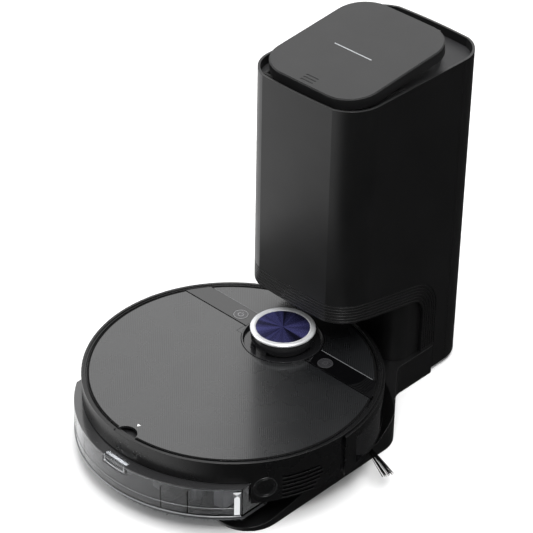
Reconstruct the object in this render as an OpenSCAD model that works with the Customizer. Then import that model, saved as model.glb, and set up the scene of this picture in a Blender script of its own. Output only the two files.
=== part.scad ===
// Robot vacuum and mop, parked on its self-emptying station.
// Origin: on the floor, straight below the centre of the robot's body.
// +Y points from the robot to the station, +X to the robot's right, +Z up.

/* [Station tower] */
// Width of the tower
tower_w = 169.6; // [150:1:190]
// Where the tower's front face stands
tower_front_y = 97; // [90:1:110]
// Depth of the tower
tower_d = 237; // [220:1:260]
// Height of the rim above the floor
tower_h = 428.6; // [400:1:480]
// Radius of the tower's vertical corners
tower_corner_r = 45; // [30:1:55]
// Radius of the slight bulge of the front and rear faces
tower_bulge_r = 700; // [400:10:1500]
// Wall of the tower's shells
tower_wall = 3; // [2:0.5:4]
// Distance from the tower's front face to the seam between its shells
seam_from_front = 190; // [170:1:200]

/* [Docking arch] */
// Height of the overhang above the floor
arch_z = 143; // [130:1:160]
// Distance from the tower's front face to where the overhang starts to slope
arch_slope_from_front = 35; // [20:1:45]
// Slope of the overhang towards the rear, in degrees
arch_slope = 12; // [5:1:15]
// Distance from the tower's front face to the back of the arch
arch_depth = 144; // [140:1:150]
// Radius of the arch's top rear corner
arch_r = 24; // [15:1:35]
// Number of grooves that follow the arch
groove_count = 6; // [2:1:8]
// Distance from one groove to the next
groove_pitch = 4; // [3:0.5:5]
// Width of a groove
groove_w = 1.6; // [0.8:0.1:2.4]
// Depth of a groove
groove_depth = 1.0; // [0.5:0.1:1.5]

/* [Station base] */
// Height of the plinth under the tower
plinth_h = 41; // [36:1:50]
// Half the width of the plinth beside the column
plinth_half_w = 86.8; // [86:0.2:95]
// Half the width of the ramp
ramp_half_w = 147.5; // [144:0.5:160]
// Height of the floor that the robot parks on
park_h = 18; // [17:0.5:22]
// Distance from the robot's centre to the front edge of the ramp
ramp_front = 122; // [110:1:135]
// Thickness of the ramp's front edge
ramp_edge_h = 3; // [2:0.5:5]
// Radius of the parking pocket where it meets the parking floor
pocket_r = 174; // [172:1:180]
// How far the pocket's wall leans out up to the plinth's top
pocket_lean = 16.5; // [8:0.5:24]

/* [Station lid] */
// Width of the lid
lid_w = 150; // [130:1:158]
// Length of the lid
lid_l = 180; // [160:1:186]
// Distance from the tower's front face to the lid
lid_from_front = 11; // [9:0.5:16]
// Tilt of the lid, in degrees
lid_tilt = 5.5; // [2:0.5:8]
// Height of the lid's front edge above the rim
lid_rise = 7.8; // [5:0.2:12]
// Height of the lid's side wall
lid_skirt = 14; // [10:0.5:16]
// Radius of the lid's corners
lid_corner_r = 40; // [25:1:45]
// Depth of the recessed floor below the rim
recess_depth = 11; // [8:0.5:14]

/* [Robot body] */
// Radius of the body
body_r = 175; // [172:0.5:178]
// Height of the top ring above the wheels' contact plane
body_h = 81; // [78:0.5:90]
// Ground clearance under the chassis
clearance = 10; // [8:0.5:12]
// Width of the ring around the top cover
ring_w = 3; // [2:0.5:4]
// Width of the black groove inside the ring
ring_gap = 4; // [2.5:0.5:5]
// Thickness of the decks and the cover
deck_t = 2.5; // [2:0.5:3]
// Wall of the body's shells
shell_t = 3.5; // [2.5:0.5:4]
// Height of the bumper's and rear wall's lower edge
wall_z = 23; // [20:1:26]

/* [Bumper] */
// How far the bumper stands proud of the body
bumper_proud = 3; // [2:0.5:4]
// Travel of the bumper
bumper_travel = 4; // [2:0.5:4]
// Half the gap between the bumper's end and the rear wall
bumper_gap = 2.5; // [2.5:0.5:4]

/* [Lidar turret] */
// Distance from the robot's centre to the turret
lidar_y = 85.4; // [80:0.5:92]
// Height of the turret above the top ring
lidar_rise = 17; // [15:0.5:25]
// Outer radius of the bright ring
lidar_r = 38.9; // [36:0.5:42]
// Width of the bright ring
lidar_ring_w = 6.7; // [4:0.1:8]
// Radius of the recess around the turret
well_r = 49; // [46:0.5:52]

/* [Buttons] */
// Distance from the robot's centre line to a button
button_x = 69; // [62:1:80]
// Distance of the buttons in front of the robot's centre
button_y = 85; // [84:0.5:88]
// Radius of a button
button_r = 9.2; // [7:0.2:10]
// Travel of a button
button_travel = 0.8; // [0.4:0.1:1]
// Rear edge of the button strip
strip_rear_y = 73; // [71:0.5:74]
// Width of the button strip
strip_w = 27.5; // [26:0.5:34]

/* [Water tank and mop] */
// Half the width of the tank
tank_half_w = 136.5; // [125:0.5:140]
// Distance from the robot's centre to the tank's inner face
tank_front_y = 88; // [86:1:96]
// Distance from the robot's centre to the tank's outermost point
tank_reach = 189; // [184:0.5:192]
// Radius of the tank's outer wall
tank_r = 170; // [166:1:176]
// Height of the tank's top above the wheels' contact plane
tank_top = 52; // [44:1:56]
// Wall of the tank
tank_t = 2; // [1.5:0.5:3]
// Thickness of the mop pad
pad_t = 5; // [3:0.5:5]

/* [Drive] */
// Radius of a drive wheel
wheel_r = 32; // [28:0.5:33]
// Width of a drive wheel
wheel_w = 22; // [18:1:24]
// Distance from the centre line to a wheel's middle
wheel_x = 113; // [111:1:116]
// Radius of the main roller
roller_r = 18; // [15:0.5:18.5]
// Half the length of the main roller
roller_half_l = 80; // [70:1:81]
// Radius that the side brush sweeps
brush_reach = 84; // [60:1:90]

/* [Hidden] */
$fn = 72;
eps = 0.01;
slack = 0.3;            // gap between neighbouring pieces
run_fit = 0.05;         // radial gap of a pin in its bore
through = 1;            // how far a cut runs past a face

tower_rear_y = tower_front_y + tower_d;
seam_y = tower_front_y + seam_from_front;
arch_y = tower_front_y + arch_depth;
plinth_rear_y = arch_y + 23;
tower_low_z = 6;
column_half_w = 80;
column_y = tower_front_y + 100;
tray_z = tower_h - recess_depth;
tray_t = 3;
cover_r = body_r - ring_w - ring_gap;
lidar_h = body_h + lidar_rise;
deck_z = body_h - 1;
deck_low = deck_z - deck_t;
strip_front_y = strip_rear_y + strip_w;
tank_c = tank_reach - tank_r;

// ---------- shapes that several pieces share ----------

function arc(cx, cy, r, from, to, steps) =
    [for (i = [0 : steps]) let (a = from + (to - from) * i / steps) [cx + r * cos(a), cy + r * sin(a)]];

// Pieces of the robot are drawn above its wheels' contact plane and lifted onto the parking floor.
module on_dock() translate([0, 0, park_h]) children();

module mirrored() {
    children();
    mirror([1, 0, 0]) children();
}

module rounded_box(size, r) {
    linear_extrude(height = size[2]) rounded_plan(size[0], size[1], r);
}

module rounded_plan(w, l, r) {
    translate([-w / 2 + r, -l / 2]) square([w - 2 * r, l]);
    translate([-w / 2, -l / 2 + r]) square([w, l - 2 * r]);
    for (x = [-w / 2 + r, w / 2 - r], y = [-l / 2 + r, l / 2 - r]) translate([x, y]) circle(r = r);
}

module ring_part(r_in, r_out, z, h, from, sweep) {
    rotate([0, 0, from])
        rotate_extrude(angle = sweep, $fn = 180)
            translate([r_in, z]) square([r_out - r_in, h]);
}

// Solid whose outline is given in the YZ plane, centred on X.
module side_extrude(points, half_w = 200) {
    translate([-half_w, 0, 0])
        rotate([90, 0, 90])
            linear_extrude(height = 2 * half_w) polygon(points);
}

// ---------- station ----------

module tower_plan(inset = 0) {
    intersection() {
        translate([0, tower_front_y + tower_d / 2])
            rounded_plan(tower_w - 2 * inset, tower_d - 2 * inset, tower_corner_r - inset);
        translate([0, tower_front_y + tower_bulge_r]) circle(r = tower_bulge_r - inset, $fn = 360);
        translate([0, tower_rear_y - tower_bulge_r]) circle(r = tower_bulge_r - inset, $fn = 360);
    }
}

// Curve of the docking arch in the YZ plane, moved outwards by grow.
function arch_curve(grow) =
    let (s = arch_slope, y0 = tower_front_y + arch_slope_from_front, yc = arch_y - arch_r,
         zc = arch_z - (yc - y0) * tan(s) - arch_r / cos(s))
    concat([[tower_front_y - 20, arch_z + grow], [y0 + grow * tan(s / 2), arch_z + grow]],
           arc(yc, zc, arch_r + grow, 90 - s, 0, 10));

module above_arch(grow, low_z, low_rear_z, rear_y) {
    side_extrude(concat(arch_curve(grow),
        [[arch_y + grow, low_z], [plinth_rear_y + slack, low_z], [plinth_rear_y + slack, low_rear_z],
         [rear_y, low_rear_z], [rear_y, tower_h], [tower_front_y - 20, tower_h]]));
}

module groove_band(grow) {
    outer = arch_curve(grow + groove_w);
    inner = arch_curve(grow);
    side_extrude(concat(outer, [[arch_y + grow + groove_w, plinth_h + 2]], [[arch_y + grow, plinth_h + 2]],
        [for (i = [len(inner) - 1 : -1 : 0]) inner[i]]));
}

module front_shell() color("#2b2b2c") {
    first_groove = 2.5;
    difference() {
        intersection() {
            linear_extrude(height = tower_h) tower_plan();
            above_arch(0, plinth_h + slack, tower_low_z, seam_y);
        }
        intersection() {
            translate([0, 0, -through]) linear_extrude(height = tower_h + 2 * through) tower_plan(tower_wall);
            above_arch_cut();
        }
        translate([0, duct_y, plinth_h]) cylinder(r = duct_r + 0.5, h = arch_z);
        for (k = [0 : groove_count - 1])
            intersection() {
                difference() {
                    translate([0, 0, plinth_h]) linear_extrude(height = tower_h - plinth_h - 50)
                        tower_plan(-through);
                    translate([0, 0, plinth_h - through]) linear_extrude(height = tower_h)
                        tower_plan(groove_depth);
                }
                groove_band(first_groove + k * groove_pitch);
            }
    }
}

module above_arch_cut() {
    side_extrude(concat(arch_curve(tower_wall),
        [[arch_y + tower_wall, -through], [seam_y + through, -through],
         [seam_y + through, tower_h + through], [tower_front_y - 20, tower_h + through]]));
}

module rear_shell() color("#242425") {
    round_r = 16;
    difference() {
        intersection() {
            translate([0, 0, tower_low_z]) linear_extrude(height = tower_h - tower_low_z) tower_plan();
            side_extrude(concat([[seam_y + slack, tower_low_z]],
                arc(tower_rear_y - round_r, tower_low_z + round_r, round_r, -90, 0, 8),
                [[tower_rear_y, tower_h], [seam_y + slack, tower_h]]));
        }
        intersection() {
            linear_extrude(height = tower_h + through) tower_plan(tower_wall);
            side_extrude(concat([[seam_y - through, tower_low_z + tower_wall]],
                arc(tower_rear_y - round_r, tower_low_z + round_r, round_r - tower_wall, -90, 0, 8),
                [[tower_rear_y - tower_wall, tower_h + through], [seam_y - through, tower_h + through]]));
        }
        translate([inlet_x, tower_rear_y - 20, inlet_z]) rotate([-90, 0, 0])
            linear_extrude(height = 30) square([inlet_w + 2 * slack, inlet_h + 2 * slack], center = true);
        screw_places() cylinder(r = screw_r + run_fit, h = 20, center = true, $fn = 24);
        screw_places() translate([0, 0, -5]) cylinder(r = screw_head_r + run_fit, h = 5 + screw_head_h, $fn = 32);
    }
}

inlet_x = 48;
inlet_z = 62;
inlet_w = 27;
inlet_h = 18;
inlet_d = 22;

module power_inlet() color("#151515") {
    face_y = tower_rear_y - 5;
    pin_r = 1.2;
    translate([inlet_x, face_y - inlet_d, inlet_z]) {
        difference() {
            translate([-inlet_w / 2, 0, -inlet_h / 2]) cube([inlet_w, inlet_d, inlet_h]);
            translate([0, inlet_d, 0]) rotate([90, 0, 0])
                linear_extrude(height = inlet_d - 5) rounded_plan(19, 9, 4.4);
        }
        for (x = [-4.3, 4.3])
            translate([x, 3, 0]) rotate([-90, 0, 0]) cylinder(r = pin_r, h = inlet_d - 7, $fn = 24);
    }
}

screw_r = 2;
screw_head_r = 3.6;
screw_head_h = 1.8;
screw_sink = 0.9;       // how far a screw's head sits below the rear face

// Each screw is drawn along +Z into the rear shell, from the outermost point of the rear face.
module screw_places() {
    for (x = [-30, 30], z = [110, 380])
        translate([x, tower_rear_y - screw_sink, z]) rotate([90, 0, 0]) children();
}

module station_screws() color("#555558") {
    screw_places() {
        difference() {
            cylinder(r = screw_head_r, h = screw_head_h, $fn = 32);
            cube([4, 0.8, 1.6], center = true);
            cube([0.8, 4, 1.6], center = true);
        }
        translate([0, 0, screw_head_h]) cylinder(r = screw_r, h = 10, $fn = 24);
    }
}

module base_plan() {
    corner_r = 42;
    flare = 41;
    bulge_r = 40;
    bulge_y = 108;
    neck_r = 20;
    rear_r = 4;
    neck_y = 203;
    half = concat([[0, -ramp_front]],
        arc(ramp_half_w - corner_r, corner_r - ramp_front, corner_r, -90, 0, 10),
        arc(ramp_half_w - bulge_r, bulge_y, bulge_r, 0, flare, 6),
        arc(plinth_half_w + neck_r, neck_y, neck_r, 180 + flare, 180, 5),
        arc(plinth_half_w - rear_r, plinth_rear_y - rear_r, rear_r, 0, 90, 5),
        [[0, plinth_rear_y]]);
    polygon(concat(half, [for (i = [len(half) - 2 : -1 : 1]) [-half[i][0], half[i][1]]]));
}

duct_r = 16;
duct_y = column_y + 25;
duct_wall = 2.5;
port_half_w = roller_half_l + 2;
port_half_l = 18;
roller_y = 30;
channel_half_w = 24;
seal_w = 6;
duct_top = park_h - 3.4;
contact_x = 35;
contact_y = 146;
contact_r = 5;
foot_r = 10;
foot_t = 1.5;

module foot_places() {
    for (p = [[118, -62], [128, 20], [118, 92], [66, 236]])
        mirrored() translate([p[0], p[1], 0]) children();
}

// Hollow under the base that the air duct and its cover fill.
module duct_hollow(gap, low_z, high_z) {
    half_w = port_half_w + seal_w + gap;
    half_l = port_half_l + seal_w + gap;
    end_y = duct_y + duct_r + 2 + gap;
    translate([-half_w, roller_y - half_l, low_z]) cube([2 * half_w, 2 * half_l, high_z - low_z]);
    translate([-channel_half_w - gap, roller_y, low_z])
        cube([2 * (channel_half_w + gap), end_y - roller_y, high_z - low_z]);
}

module base_plate() color("#222223") {
    ramp_len = ramp_front - 30;
    difference() {
        linear_extrude(height = plinth_h) base_plan();
        translate([0, 0, park_h])
            cylinder(r1 = pocket_r, r2 = pocket_r + pocket_lean * (plinth_h + through - park_h) / (plinth_h - park_h),
                     h = plinth_h + through - park_h, $fn = 180);
        side_extrude([[-ramp_front - 10, ramp_edge_h - 10 * (park_h - ramp_edge_h) / ramp_len],
            [-ramp_front + ramp_len, park_h], [-ramp_front + ramp_len, plinth_h + through],
            [-ramp_front - 10, plinth_h + through]]);
        duct_hollow(0, -through, duct_top + slack);
        translate([-port_half_w - seal_w, roller_y - port_half_l - seal_w, 0])
            cube([2 * (port_half_w + seal_w), 2 * (port_half_l + seal_w), park_h + through]);
        translate([0, duct_y, 0]) cylinder(r = duct_r + 0.5, h = plinth_h + through);
        for (x = [-contact_x, contact_x]) translate([x, contact_y, 7])
            cylinder(r = contact_r + slack, h = park_h, $fn = 48);
        translate([0, 0, -through]) foot_places() cylinder(r = foot_r + slack, h = foot_t + through, $fn = 48);
    }
}

module base_cover() color("#1c1c1d") {
    duct_hollow(-slack, 0, 2);
}

module rubber_feet() color("#3a3a3c") {
    foot_places() cylinder(r = foot_r, h = foot_t, $fn = 48);
}

module port_seal() color("#101010") {
    inner_w = 2 * port_half_w;
    inner_l = 2 * port_half_l;
    rim = seal_w - slack;
    translate([0, roller_y, duct_top + slack]) difference() {
        translate([0, 0, 0]) linear_extrude(height = park_h - duct_top - slack)
            rounded_plan(inner_w + 2 * rim, inner_l + 2 * rim, 4);
        translate([0, 0, -through]) linear_extrude(height = park_h) rounded_plan(inner_w, inner_l, 3);
    }
}

elbow_z = 365;

module suction_duct() color("#39393b") {
    low = 2.3;
    wall = 2;
    end_y = duct_y + duct_r;
    difference() {
        union() {
            duct_hollow(-0.6, low, duct_top);
            translate([0, duct_y, low]) cylinder(r = duct_r, h = elbow_z - low);
            translate([0, duct_y, elbow_z]) sphere(r = duct_r);
            translate([0, duct_y, elbow_z]) rotate([90, 0, 0]) cylinder(r = duct_r, h = duct_y - chamber_rear_y + 2);
        }
        translate([-port_half_w + 1, roller_y - port_half_l + 1, low + wall])
            cube([2 * port_half_w - 2, 2 * port_half_l - 2, 20]);
        translate([-channel_half_w + 3, roller_y, low + wall])
            cube([2 * channel_half_w - 6, end_y - 8 - roller_y, duct_top - low - 2 * wall]);
        translate([0, duct_y, low + wall]) cylinder(r = duct_r - duct_wall, h = elbow_z - low - wall);
        translate([0, duct_y, elbow_z]) sphere(r = duct_r - duct_wall);
        translate([0, duct_y, elbow_z]) rotate([90, 0, 0]) cylinder(r = duct_r - duct_wall, h = 60);
    }
}

contact_top = park_h + clearance - slack;

module contact(side) {
    neck = contact_top - contact_r;
    translate([side * contact_x, contact_y, 0]) {
        translate([0, 0, 11]) cylinder(r = contact_r, h = neck - 11, $fn = 48);
        intersection() {
            translate([0, 0, neck]) sphere(r = contact_r, $fn = 48);
            translate([0, 0, neck - eps]) cylinder(r = contact_r + 1, h = contact_r + 1, $fn = 48);
        }
    }
}

module contact_left() color("#c9a650") contact(-1);

module contact_right() color("#c9a650") contact(1);

module column_cover() color("#232324") {
    corner = 22;
    wall = 2.5;
    length = arch_y - column_y - slack;
    height = arch_z - plinth_h;
    intersection() {
        translate([0, 0, plinth_h + slack]) difference() {
            linear_extrude(height = height) column_plan(0, corner, length);
            translate([0, 0, -through]) linear_extrude(height = height + 2 * through)
                column_plan(wall, corner - wall, length);
        }
        side_extrude(concat(arch_curve(-slack), [[arch_y - slack, plinth_h], [tower_front_y - 20, plinth_h]]));
    }
}

module column_plan(inset, corner, length) {
    x = column_half_w - inset - corner;
    for (s = [-x, x]) translate([s, column_y + inset + corner]) circle(r = corner);
    translate([-x, column_y + inset]) square([2 * x, length]);
    translate([-column_half_w + inset, column_y + inset + corner])
        square([2 * (column_half_w - inset), length - corner]);
}

chamber_half_w = 64;
chamber_front_y = tower_front_y + 22;
chamber_rear_y = duct_y - duct_r - 6;
chamber_floor_z = 262;
chamber_t = 2.5;
hinge_x = 40;
hinge_y = tower_front_y + lid_from_front + lid_l - 4;
hinge_z = tower_h + lid_rise + (lid_l - 4) * tan(lid_tilt) - lid_skirt - 4;
hinge_pin_r = 2;
knuckle_r = 4.5;

module chamber_plan(grow) {
    translate([-chamber_half_w - grow, chamber_front_y - grow])
        square([2 * (chamber_half_w + grow), chamber_rear_y - chamber_front_y + 2 * grow]);
}

module bag_chamber() color("#303032") {
    bracket_w = 4;
    bracket_r = 3.5;
    difference() {
        union() {
            translate([0, 0, tray_z - tray_t]) linear_extrude(height = tray_t) tower_plan(tower_wall + slack);
            translate([0, 0, chamber_floor_z]) linear_extrude(height = tray_z - chamber_floor_z) chamber_plan(chamber_t);
            for (s = [-1, 1], x = [hinge_x - 9, hinge_x + 9]) translate([s * x - bracket_w / 2, hinge_y, 0]) {
                translate([0, -bracket_r, tray_z - 1]) cube([bracket_w, 2 * bracket_r, hinge_z - tray_z + 1]);
                translate([0, 0, hinge_z]) rotate([0, 90, 0]) cylinder(r = bracket_r, h = bracket_w, $fn = 48);
            }
        }
        translate([0, 0, chamber_floor_z + chamber_t]) linear_extrude(height = 300) chamber_plan(0);
        translate([0, chamber_rear_y + 10, elbow_z]) rotate([90, 0, 0]) cylinder(r = duct_r + slack, h = 20);
        for (x = [-hinge_x, hinge_x]) translate([x, hinge_y, hinge_z]) rotate([0, 90, 0])
            cylinder(r = hinge_pin_r, h = 40, center = true, $fn = 32);
        for (x = [-24, 0, 24]) translate([x, 0, chamber_floor_z - through])
            translate([-8, chamber_front_y + 20, 0]) cube([16, 54, chamber_t + 2 * through]);
    }
}

module lid_hinge_pins() color("#8a8a8e") {
    for (x = [-hinge_x, hinge_x]) translate([x, hinge_y, hinge_z]) rotate([0, 90, 0])
        cylinder(r = hinge_pin_r, h = 22, center = true, $fn = 32);
}

card_y = chamber_rear_y - 6;

module bag_card() color("#d8d4c8") {
    translate([0, card_y, 335]) difference() {
        translate([-46, 0, -10]) cube([92, 3, 76]);
        translate([0, -5, elbow_z - 335]) rotate([-90, 0, 0]) cylinder(r = duct_r - duct_wall, h = 20);
    }
}

module dust_bag() color("#e6e3da") {
    margin = 7;
    r = 12;
    x = chamber_half_w - margin - r;
    y0 = chamber_front_y + margin + r;
    y1 = card_y - 1 - r;
    hull() for (sx = [-x, x], y = [y0, y1], z = [chamber_floor_z + chamber_t + 4 + r, tray_z - 22 - r])
        translate([sx, y, z]) sphere(r = r, $fn = 24);
}

fan_y = tower_front_y + 63;
fan_r = 38;
fan_z = 172;

module fan_motor() color("#6b6d70") {
    shaft_r = 4;
    translate([0, fan_y, fan_z]) {
        difference() {
            cylinder(r = fan_r, h = 46);
            for (a = [0 : 30 : 330]) rotate([0, 0, a])
                translate([fan_r, 0, 23]) cube([6, 8, 30], center = true);
        }
        cylinder(r = shaft_r, h = 72, $fn = 32);
        translate([0, 0, -6]) cylinder(r = 14, h = 6);
        for (a = [45 : 90 : 315]) rotate([0, 0, a])
            translate([fan_r - 10, -4, -18]) cube([6, 8, 18]);
    }
}

module fan_impeller() color("#9b9da1") {
    translate([0, fan_y, fan_z + 49]) difference() {
        union() {
            cylinder(r = 34, h = 2);
            cylinder(r = 9, h = 20);
            for (a = [0 : 40 : 320]) rotate([0, 0, a]) translate([7, -0.8, 1]) cube([26, 1.6, 15]);
        }
        translate([0, 0, -through]) cylinder(r = 4 + run_fit, h = 30, $fn = 32);
    }
}

module exhaust_filter() color("#cfd2d4") {
    pleats = 12;
    half_w = 60;
    pitch = 2 * half_w / pleats;
    translate([0, tower_front_y + 12, arch_z + tower_wall + 0.6]) difference() {
        translate([-half_w, 0, 0]) cube([2 * half_w, 22, 16]);
        for (i = [0 : pleats - 1])
            translate([-half_w + (i + 0.5) * pitch, 11, 12]) cube([pitch * 0.45, 18, 12], center = true);
    }
}

module station_board() color("#1f5a36") {
    board_y = seam_y + 26;
    translate([0, board_y, 120]) {
        translate([-40, 0, 0]) cube([80, 1.6, 110]);
        for (p = [[-28, 20, 22], [4, 16, 30], [-30, 66, 18], [10, 62, 16]])
            translate([p[0], -p[2] / 2, p[1]]) cube([18, p[2] / 2, 24]);
    }
}

// Everything on the lid is drawn flat, with its top at zero, and then tilted.
module on_lid() {
    translate([0, tower_front_y + lid_from_front, tower_h + lid_rise]) rotate([lid_tilt, 0, 0]) children();
}

module lid_plan(inset = 0) {
    translate([0, lid_l / 2]) rounded_plan(lid_w - 2 * inset, lid_l - 2 * inset, lid_corner_r - inset);
}

lid_t = 3;
light_y = 83;
light_l = 56;
light_w = 1.6;
mark_y = 5;

module station_lid() color("#3a3a3c") {
    knuckle_w = 13;
    lip = 1;
    difference() {
        union() {
            on_lid() translate([0, 0, -lid_skirt]) linear_extrude(height = lid_skirt - lip) lid_plan();
            on_lid() translate([0, 0, -lip - eps]) linear_extrude(height = lip + eps) lid_plan(lip);
        }
        on_lid() translate([0, 0, -lid_skirt - through]) linear_extrude(height = lid_skirt + through - lid_t)
            lid_plan(lid_t);
        on_lid() translate([0, light_y, 0]) cube([light_l, light_w, 3 * lid_t], center = true);
        for (i = [0 : 2]) on_lid() translate([-9, mark_y + 5 * i, -0.6]) cube([18, 2.4, 2]);
    }
    difference() {
        for (x = [-hinge_x, hinge_x]) translate([x - knuckle_w / 2, 0, 0]) {
            translate([0, hinge_y, hinge_z]) rotate([0, 90, 0]) cylinder(r = knuckle_r, h = knuckle_w, $fn = 48);
            translate([0, hinge_y - knuckle_r, hinge_z]) cube([knuckle_w, knuckle_r * 2, lid_skirt + 2]);
        }
        for (x = [-hinge_x, hinge_x]) translate([x, hinge_y, hinge_z]) rotate([0, 90, 0])
            cylinder(r = hinge_pin_r + run_fit, h = 60, center = true, $fn = 32);
    }
}

module lid_light() color("#8d9094") {
    on_lid() translate([0, light_y, -lid_t / 2]) cube([light_l, light_w, lid_t], center = true);
}

module lid_seal() color("#161616") {
    grow = 3;
    seal_t = 2;
    translate([0, 0, tray_z + eps]) difference() {
        linear_extrude(height = seal_t) chamber_plan(grow + 1);
        translate([0, 0, -through]) linear_extrude(height = seal_t + 2 * through) chamber_plan(1);
    }
}

// ---------- robot ----------

bay_half_w = tank_half_w + 0.7;
bay_y = -tank_front_y + 0.8;
bay_top = tank_top + 1.6;
bay_t = 2.2;
frame_z = body_h - 11;
cover_hinge_y = strip_rear_y - 8;
cover_hinge_z = deck_low - 1.2;
cover_pin_r = 1;
caster_y = 132;
caster_bay_w = 50;      // square room in which the caster swivels
caster_bay_top = 34;    // height of its roof
brush_x = 120;
brush_y = 82;
arm_pivot_y = 58;
arm_pivot_z = 30;
wheel_y = 2;
wheel_z = wheel_r + slack;
arm_x = wheel_x - wheel_w / 2 - 8;
well_side_gap = 5;      // room beside a wheel in its cut-out
well_end_gap = 11;      // room in front of and behind it
pin_r = 3;
roller_z = roller_r + 1;

module chassis() color("#1d1d1e") on_dock() difference() {
    union() {
        chassis_tray();
        chassis_bay();
        chassis_brush_box();
        chassis_caster_box();
        chassis_arm_brackets();
        for (x = [-128, -92], y = [-78, -46]) translate([x, y, clearance + 2]) cylinder(r = 3, h = 22, $fn = 24);
    }
    chassis_openings();
}

module chassis_tray() {
    slope = wall_z - clearance;
    edge_r = body_r - shell_t - 1;
    sole_r = edge_r - slope;
    floor_t = 3;
    rotate_extrude($fn = 180)
        polygon([[0, clearance], [sole_r, clearance], [edge_r, wall_z], [edge_r, wall_z + floor_t],
            [edge_r - floor_t, wall_z + floor_t], [edge_r - floor_t, wall_z + 1.2],
            [sole_r - 1.2, clearance + floor_t], [0, clearance + floor_t]]);
    ring_part(body_r - 10.5, body_r - 7, wall_z, frame_z - wall_z - slack, 0, 180);
}

module chassis_bay() {
    intersection() {
        translate([0, 0, clearance]) cylinder(r = body_r - 4.5, h = bay_top + bay_t - clearance, $fn = 180);
        union() {
            translate([-bay_half_w - bay_t, bay_y, clearance])
                cube([2 * (bay_half_w + bay_t), bay_t, bay_top + bay_t - clearance]);
            translate([-bay_half_w - bay_t, -body_r, bay_top])
                cube([2 * (bay_half_w + bay_t), body_r + bay_y + bay_t, bay_t]);
            mirrored() translate([bay_half_w, -body_r, wall_z])
                cube([bay_t, body_r + bay_y, bay_top - wall_z + bay_t]);
        }
    }
}

module chassis_brush_box() {
    half_w = roller_half_l + 6;
    half_l = roller_r + 3;
    translate([-half_w, roller_y - half_l, clearance])
        cube([2 * half_w, 2 * half_l, roller_z + roller_r + 4 - clearance]);
}

module chassis_caster_box() {
    wall = 2;
    roof = 3;
    side = caster_bay_w + 2 * wall;
    translate([-side / 2, caster_y - side / 2, clearance]) cube([side, side, caster_bay_top + roof - clearance]);
}

module chassis_arm_brackets() {
    for (s = [-1, 1], x = [arm_x - 5.5, arm_x + 10])
        translate([s * x - 2, arm_pivot_y - 6, clearance + 2])
            cube([4, 12, arm_pivot_z - clearance + 4]);
}

module chassis_openings() {
    translate([-bay_half_w, -body_r - 10, 0]) cube([2 * bay_half_w, body_r + 10 + bay_y, bay_top]);
    for (s = [-1, 1]) translate([s * (wheel_x + 1), wheel_y, clearance])
        cube([wheel_w + 2 * well_side_gap, 2 * (wheel_r + well_end_gap), 8], center = true);
    for (s = [-1, 1]) translate([s * (arm_x + 2.5), arm_pivot_y, arm_pivot_z]) rotate([0, 90, 0])
        cylinder(r = pin_r, h = 30, center = true, $fn = 32);
    translate([-roller_half_l - 3, roller_y - roller_r - 0.8, 0])
        cube([2 * roller_half_l + 6, 2 * roller_r + 1.6, roller_z + roller_r + 1.5]);
    translate([-58, roller_y - roller_r - 10, 18]) cube([116, 12, 16]);
    for (s = [-1, 1]) translate([s * roller_half_l, roller_y, roller_z]) rotate([0, 90, 0])
        cylinder(r = 3 + run_fit, h = 13, center = true, $fn = 32);
    translate([-caster_bay_w / 2, caster_y - caster_bay_w / 2, 0])
        cube([caster_bay_w, caster_bay_w, caster_bay_top]);
    translate([0, caster_y, 0]) cylinder(r = 5 + run_fit, h = 60, $fn = 32);
    translate([brush_x, brush_y, 0]) cylinder(r = 6 + run_fit, h = 30, $fn = 32);
    mirrored() translate([contact_x - 9.2, contact_y - 5.2, 0]) cube([18.4, 10.4, clearance + 1.2]);
}

vent_from = -27.5;
vent_sweep = 17;
cap_angle = -33;
cap_r = 14;
cap_z = 44.5;

module body_shell() color("#1a1a1b") on_dock() difference() {
    union() {
        rotate_extrude($fn = 180)
            polygon([[body_r - 9, frame_z + 2.8], [body_r - 5, frame_z + 2.8], [body_r - 5, body_h - 2.6],
                [body_r, body_h - 2.6], [body_r, body_h], [body_r - ring_w, body_h],
                [body_r - ring_w, body_h - 1.4], [body_r - 5.1, body_h - 1.4], [body_r - 5.1, deck_low - 0.6],
                [body_r - 6.4, deck_low - 0.6], [body_r - 6.4, deck_low - 0.02], [body_r - 9, deck_low - 0.02]]);
        difference() {
            ring_part(body_r - shell_t, body_r, wall_z + slack, body_h - 2.6 - wall_z - slack + eps, 180, 180);
            translate([-body_r - 10, -bumper_gap, 0]) cube([2 * body_r + 20, 20, body_h - 2.6]);
        }
    }
    translate([-bay_half_w, -body_r - 10, 0]) cube([2 * bay_half_w, body_r, bay_top]);
    for (k = [0 : 5]) {
        inset = abs(k - 1.5) < 1 ? 0 : (k < 2 ? 1.5 : (k - 2) * 1.3);
        ring_part(body_r - shell_t - 1, body_r + 1, 25.5 + 5.5 * (5 - k), 2.8, vent_from + 1, vent_sweep - inset);
    }
    rotate([0, 0, cap_angle]) translate([body_r - 1.6, 0, cap_z]) rotate([0, 90, 0]) difference() {
        cylinder(r = cap_r, h = 10);
        translate([0, 0, -through]) cylinder(r = cap_r - 1.5, h = 2.2);
    }
    mirrored() ring_part(body_r - 10, body_r - 5.9, frame_z + 2, deck_z - frame_z, 21, 8);
    translate([0, -body_r + 3, body_h]) cylinder(r = 14, h = 3, center = true);
}

module inner_deck() color("#262628") on_dock() difference() {
    translate([0, 0, frame_z]) cylinder(r = body_r - 9.3, h = 2.5, $fn = 180);
    translate([0, (bin_y0 + bin_y1) / 2, frame_z])
        cube([2 * bin_half_w + 2, bin_y1 - bin_y0 + 2, 12], center = true);
    translate([0, lidar_y, frame_z - through]) cylinder(r = hatch_r, h = 6);
    mirrored() translate([45, cover_hinge_y + 1.8, frame_z - through]) cube([140, 8, 6]);
}

hatch_r = 30;           // hole in the inner deck under the turret

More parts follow.
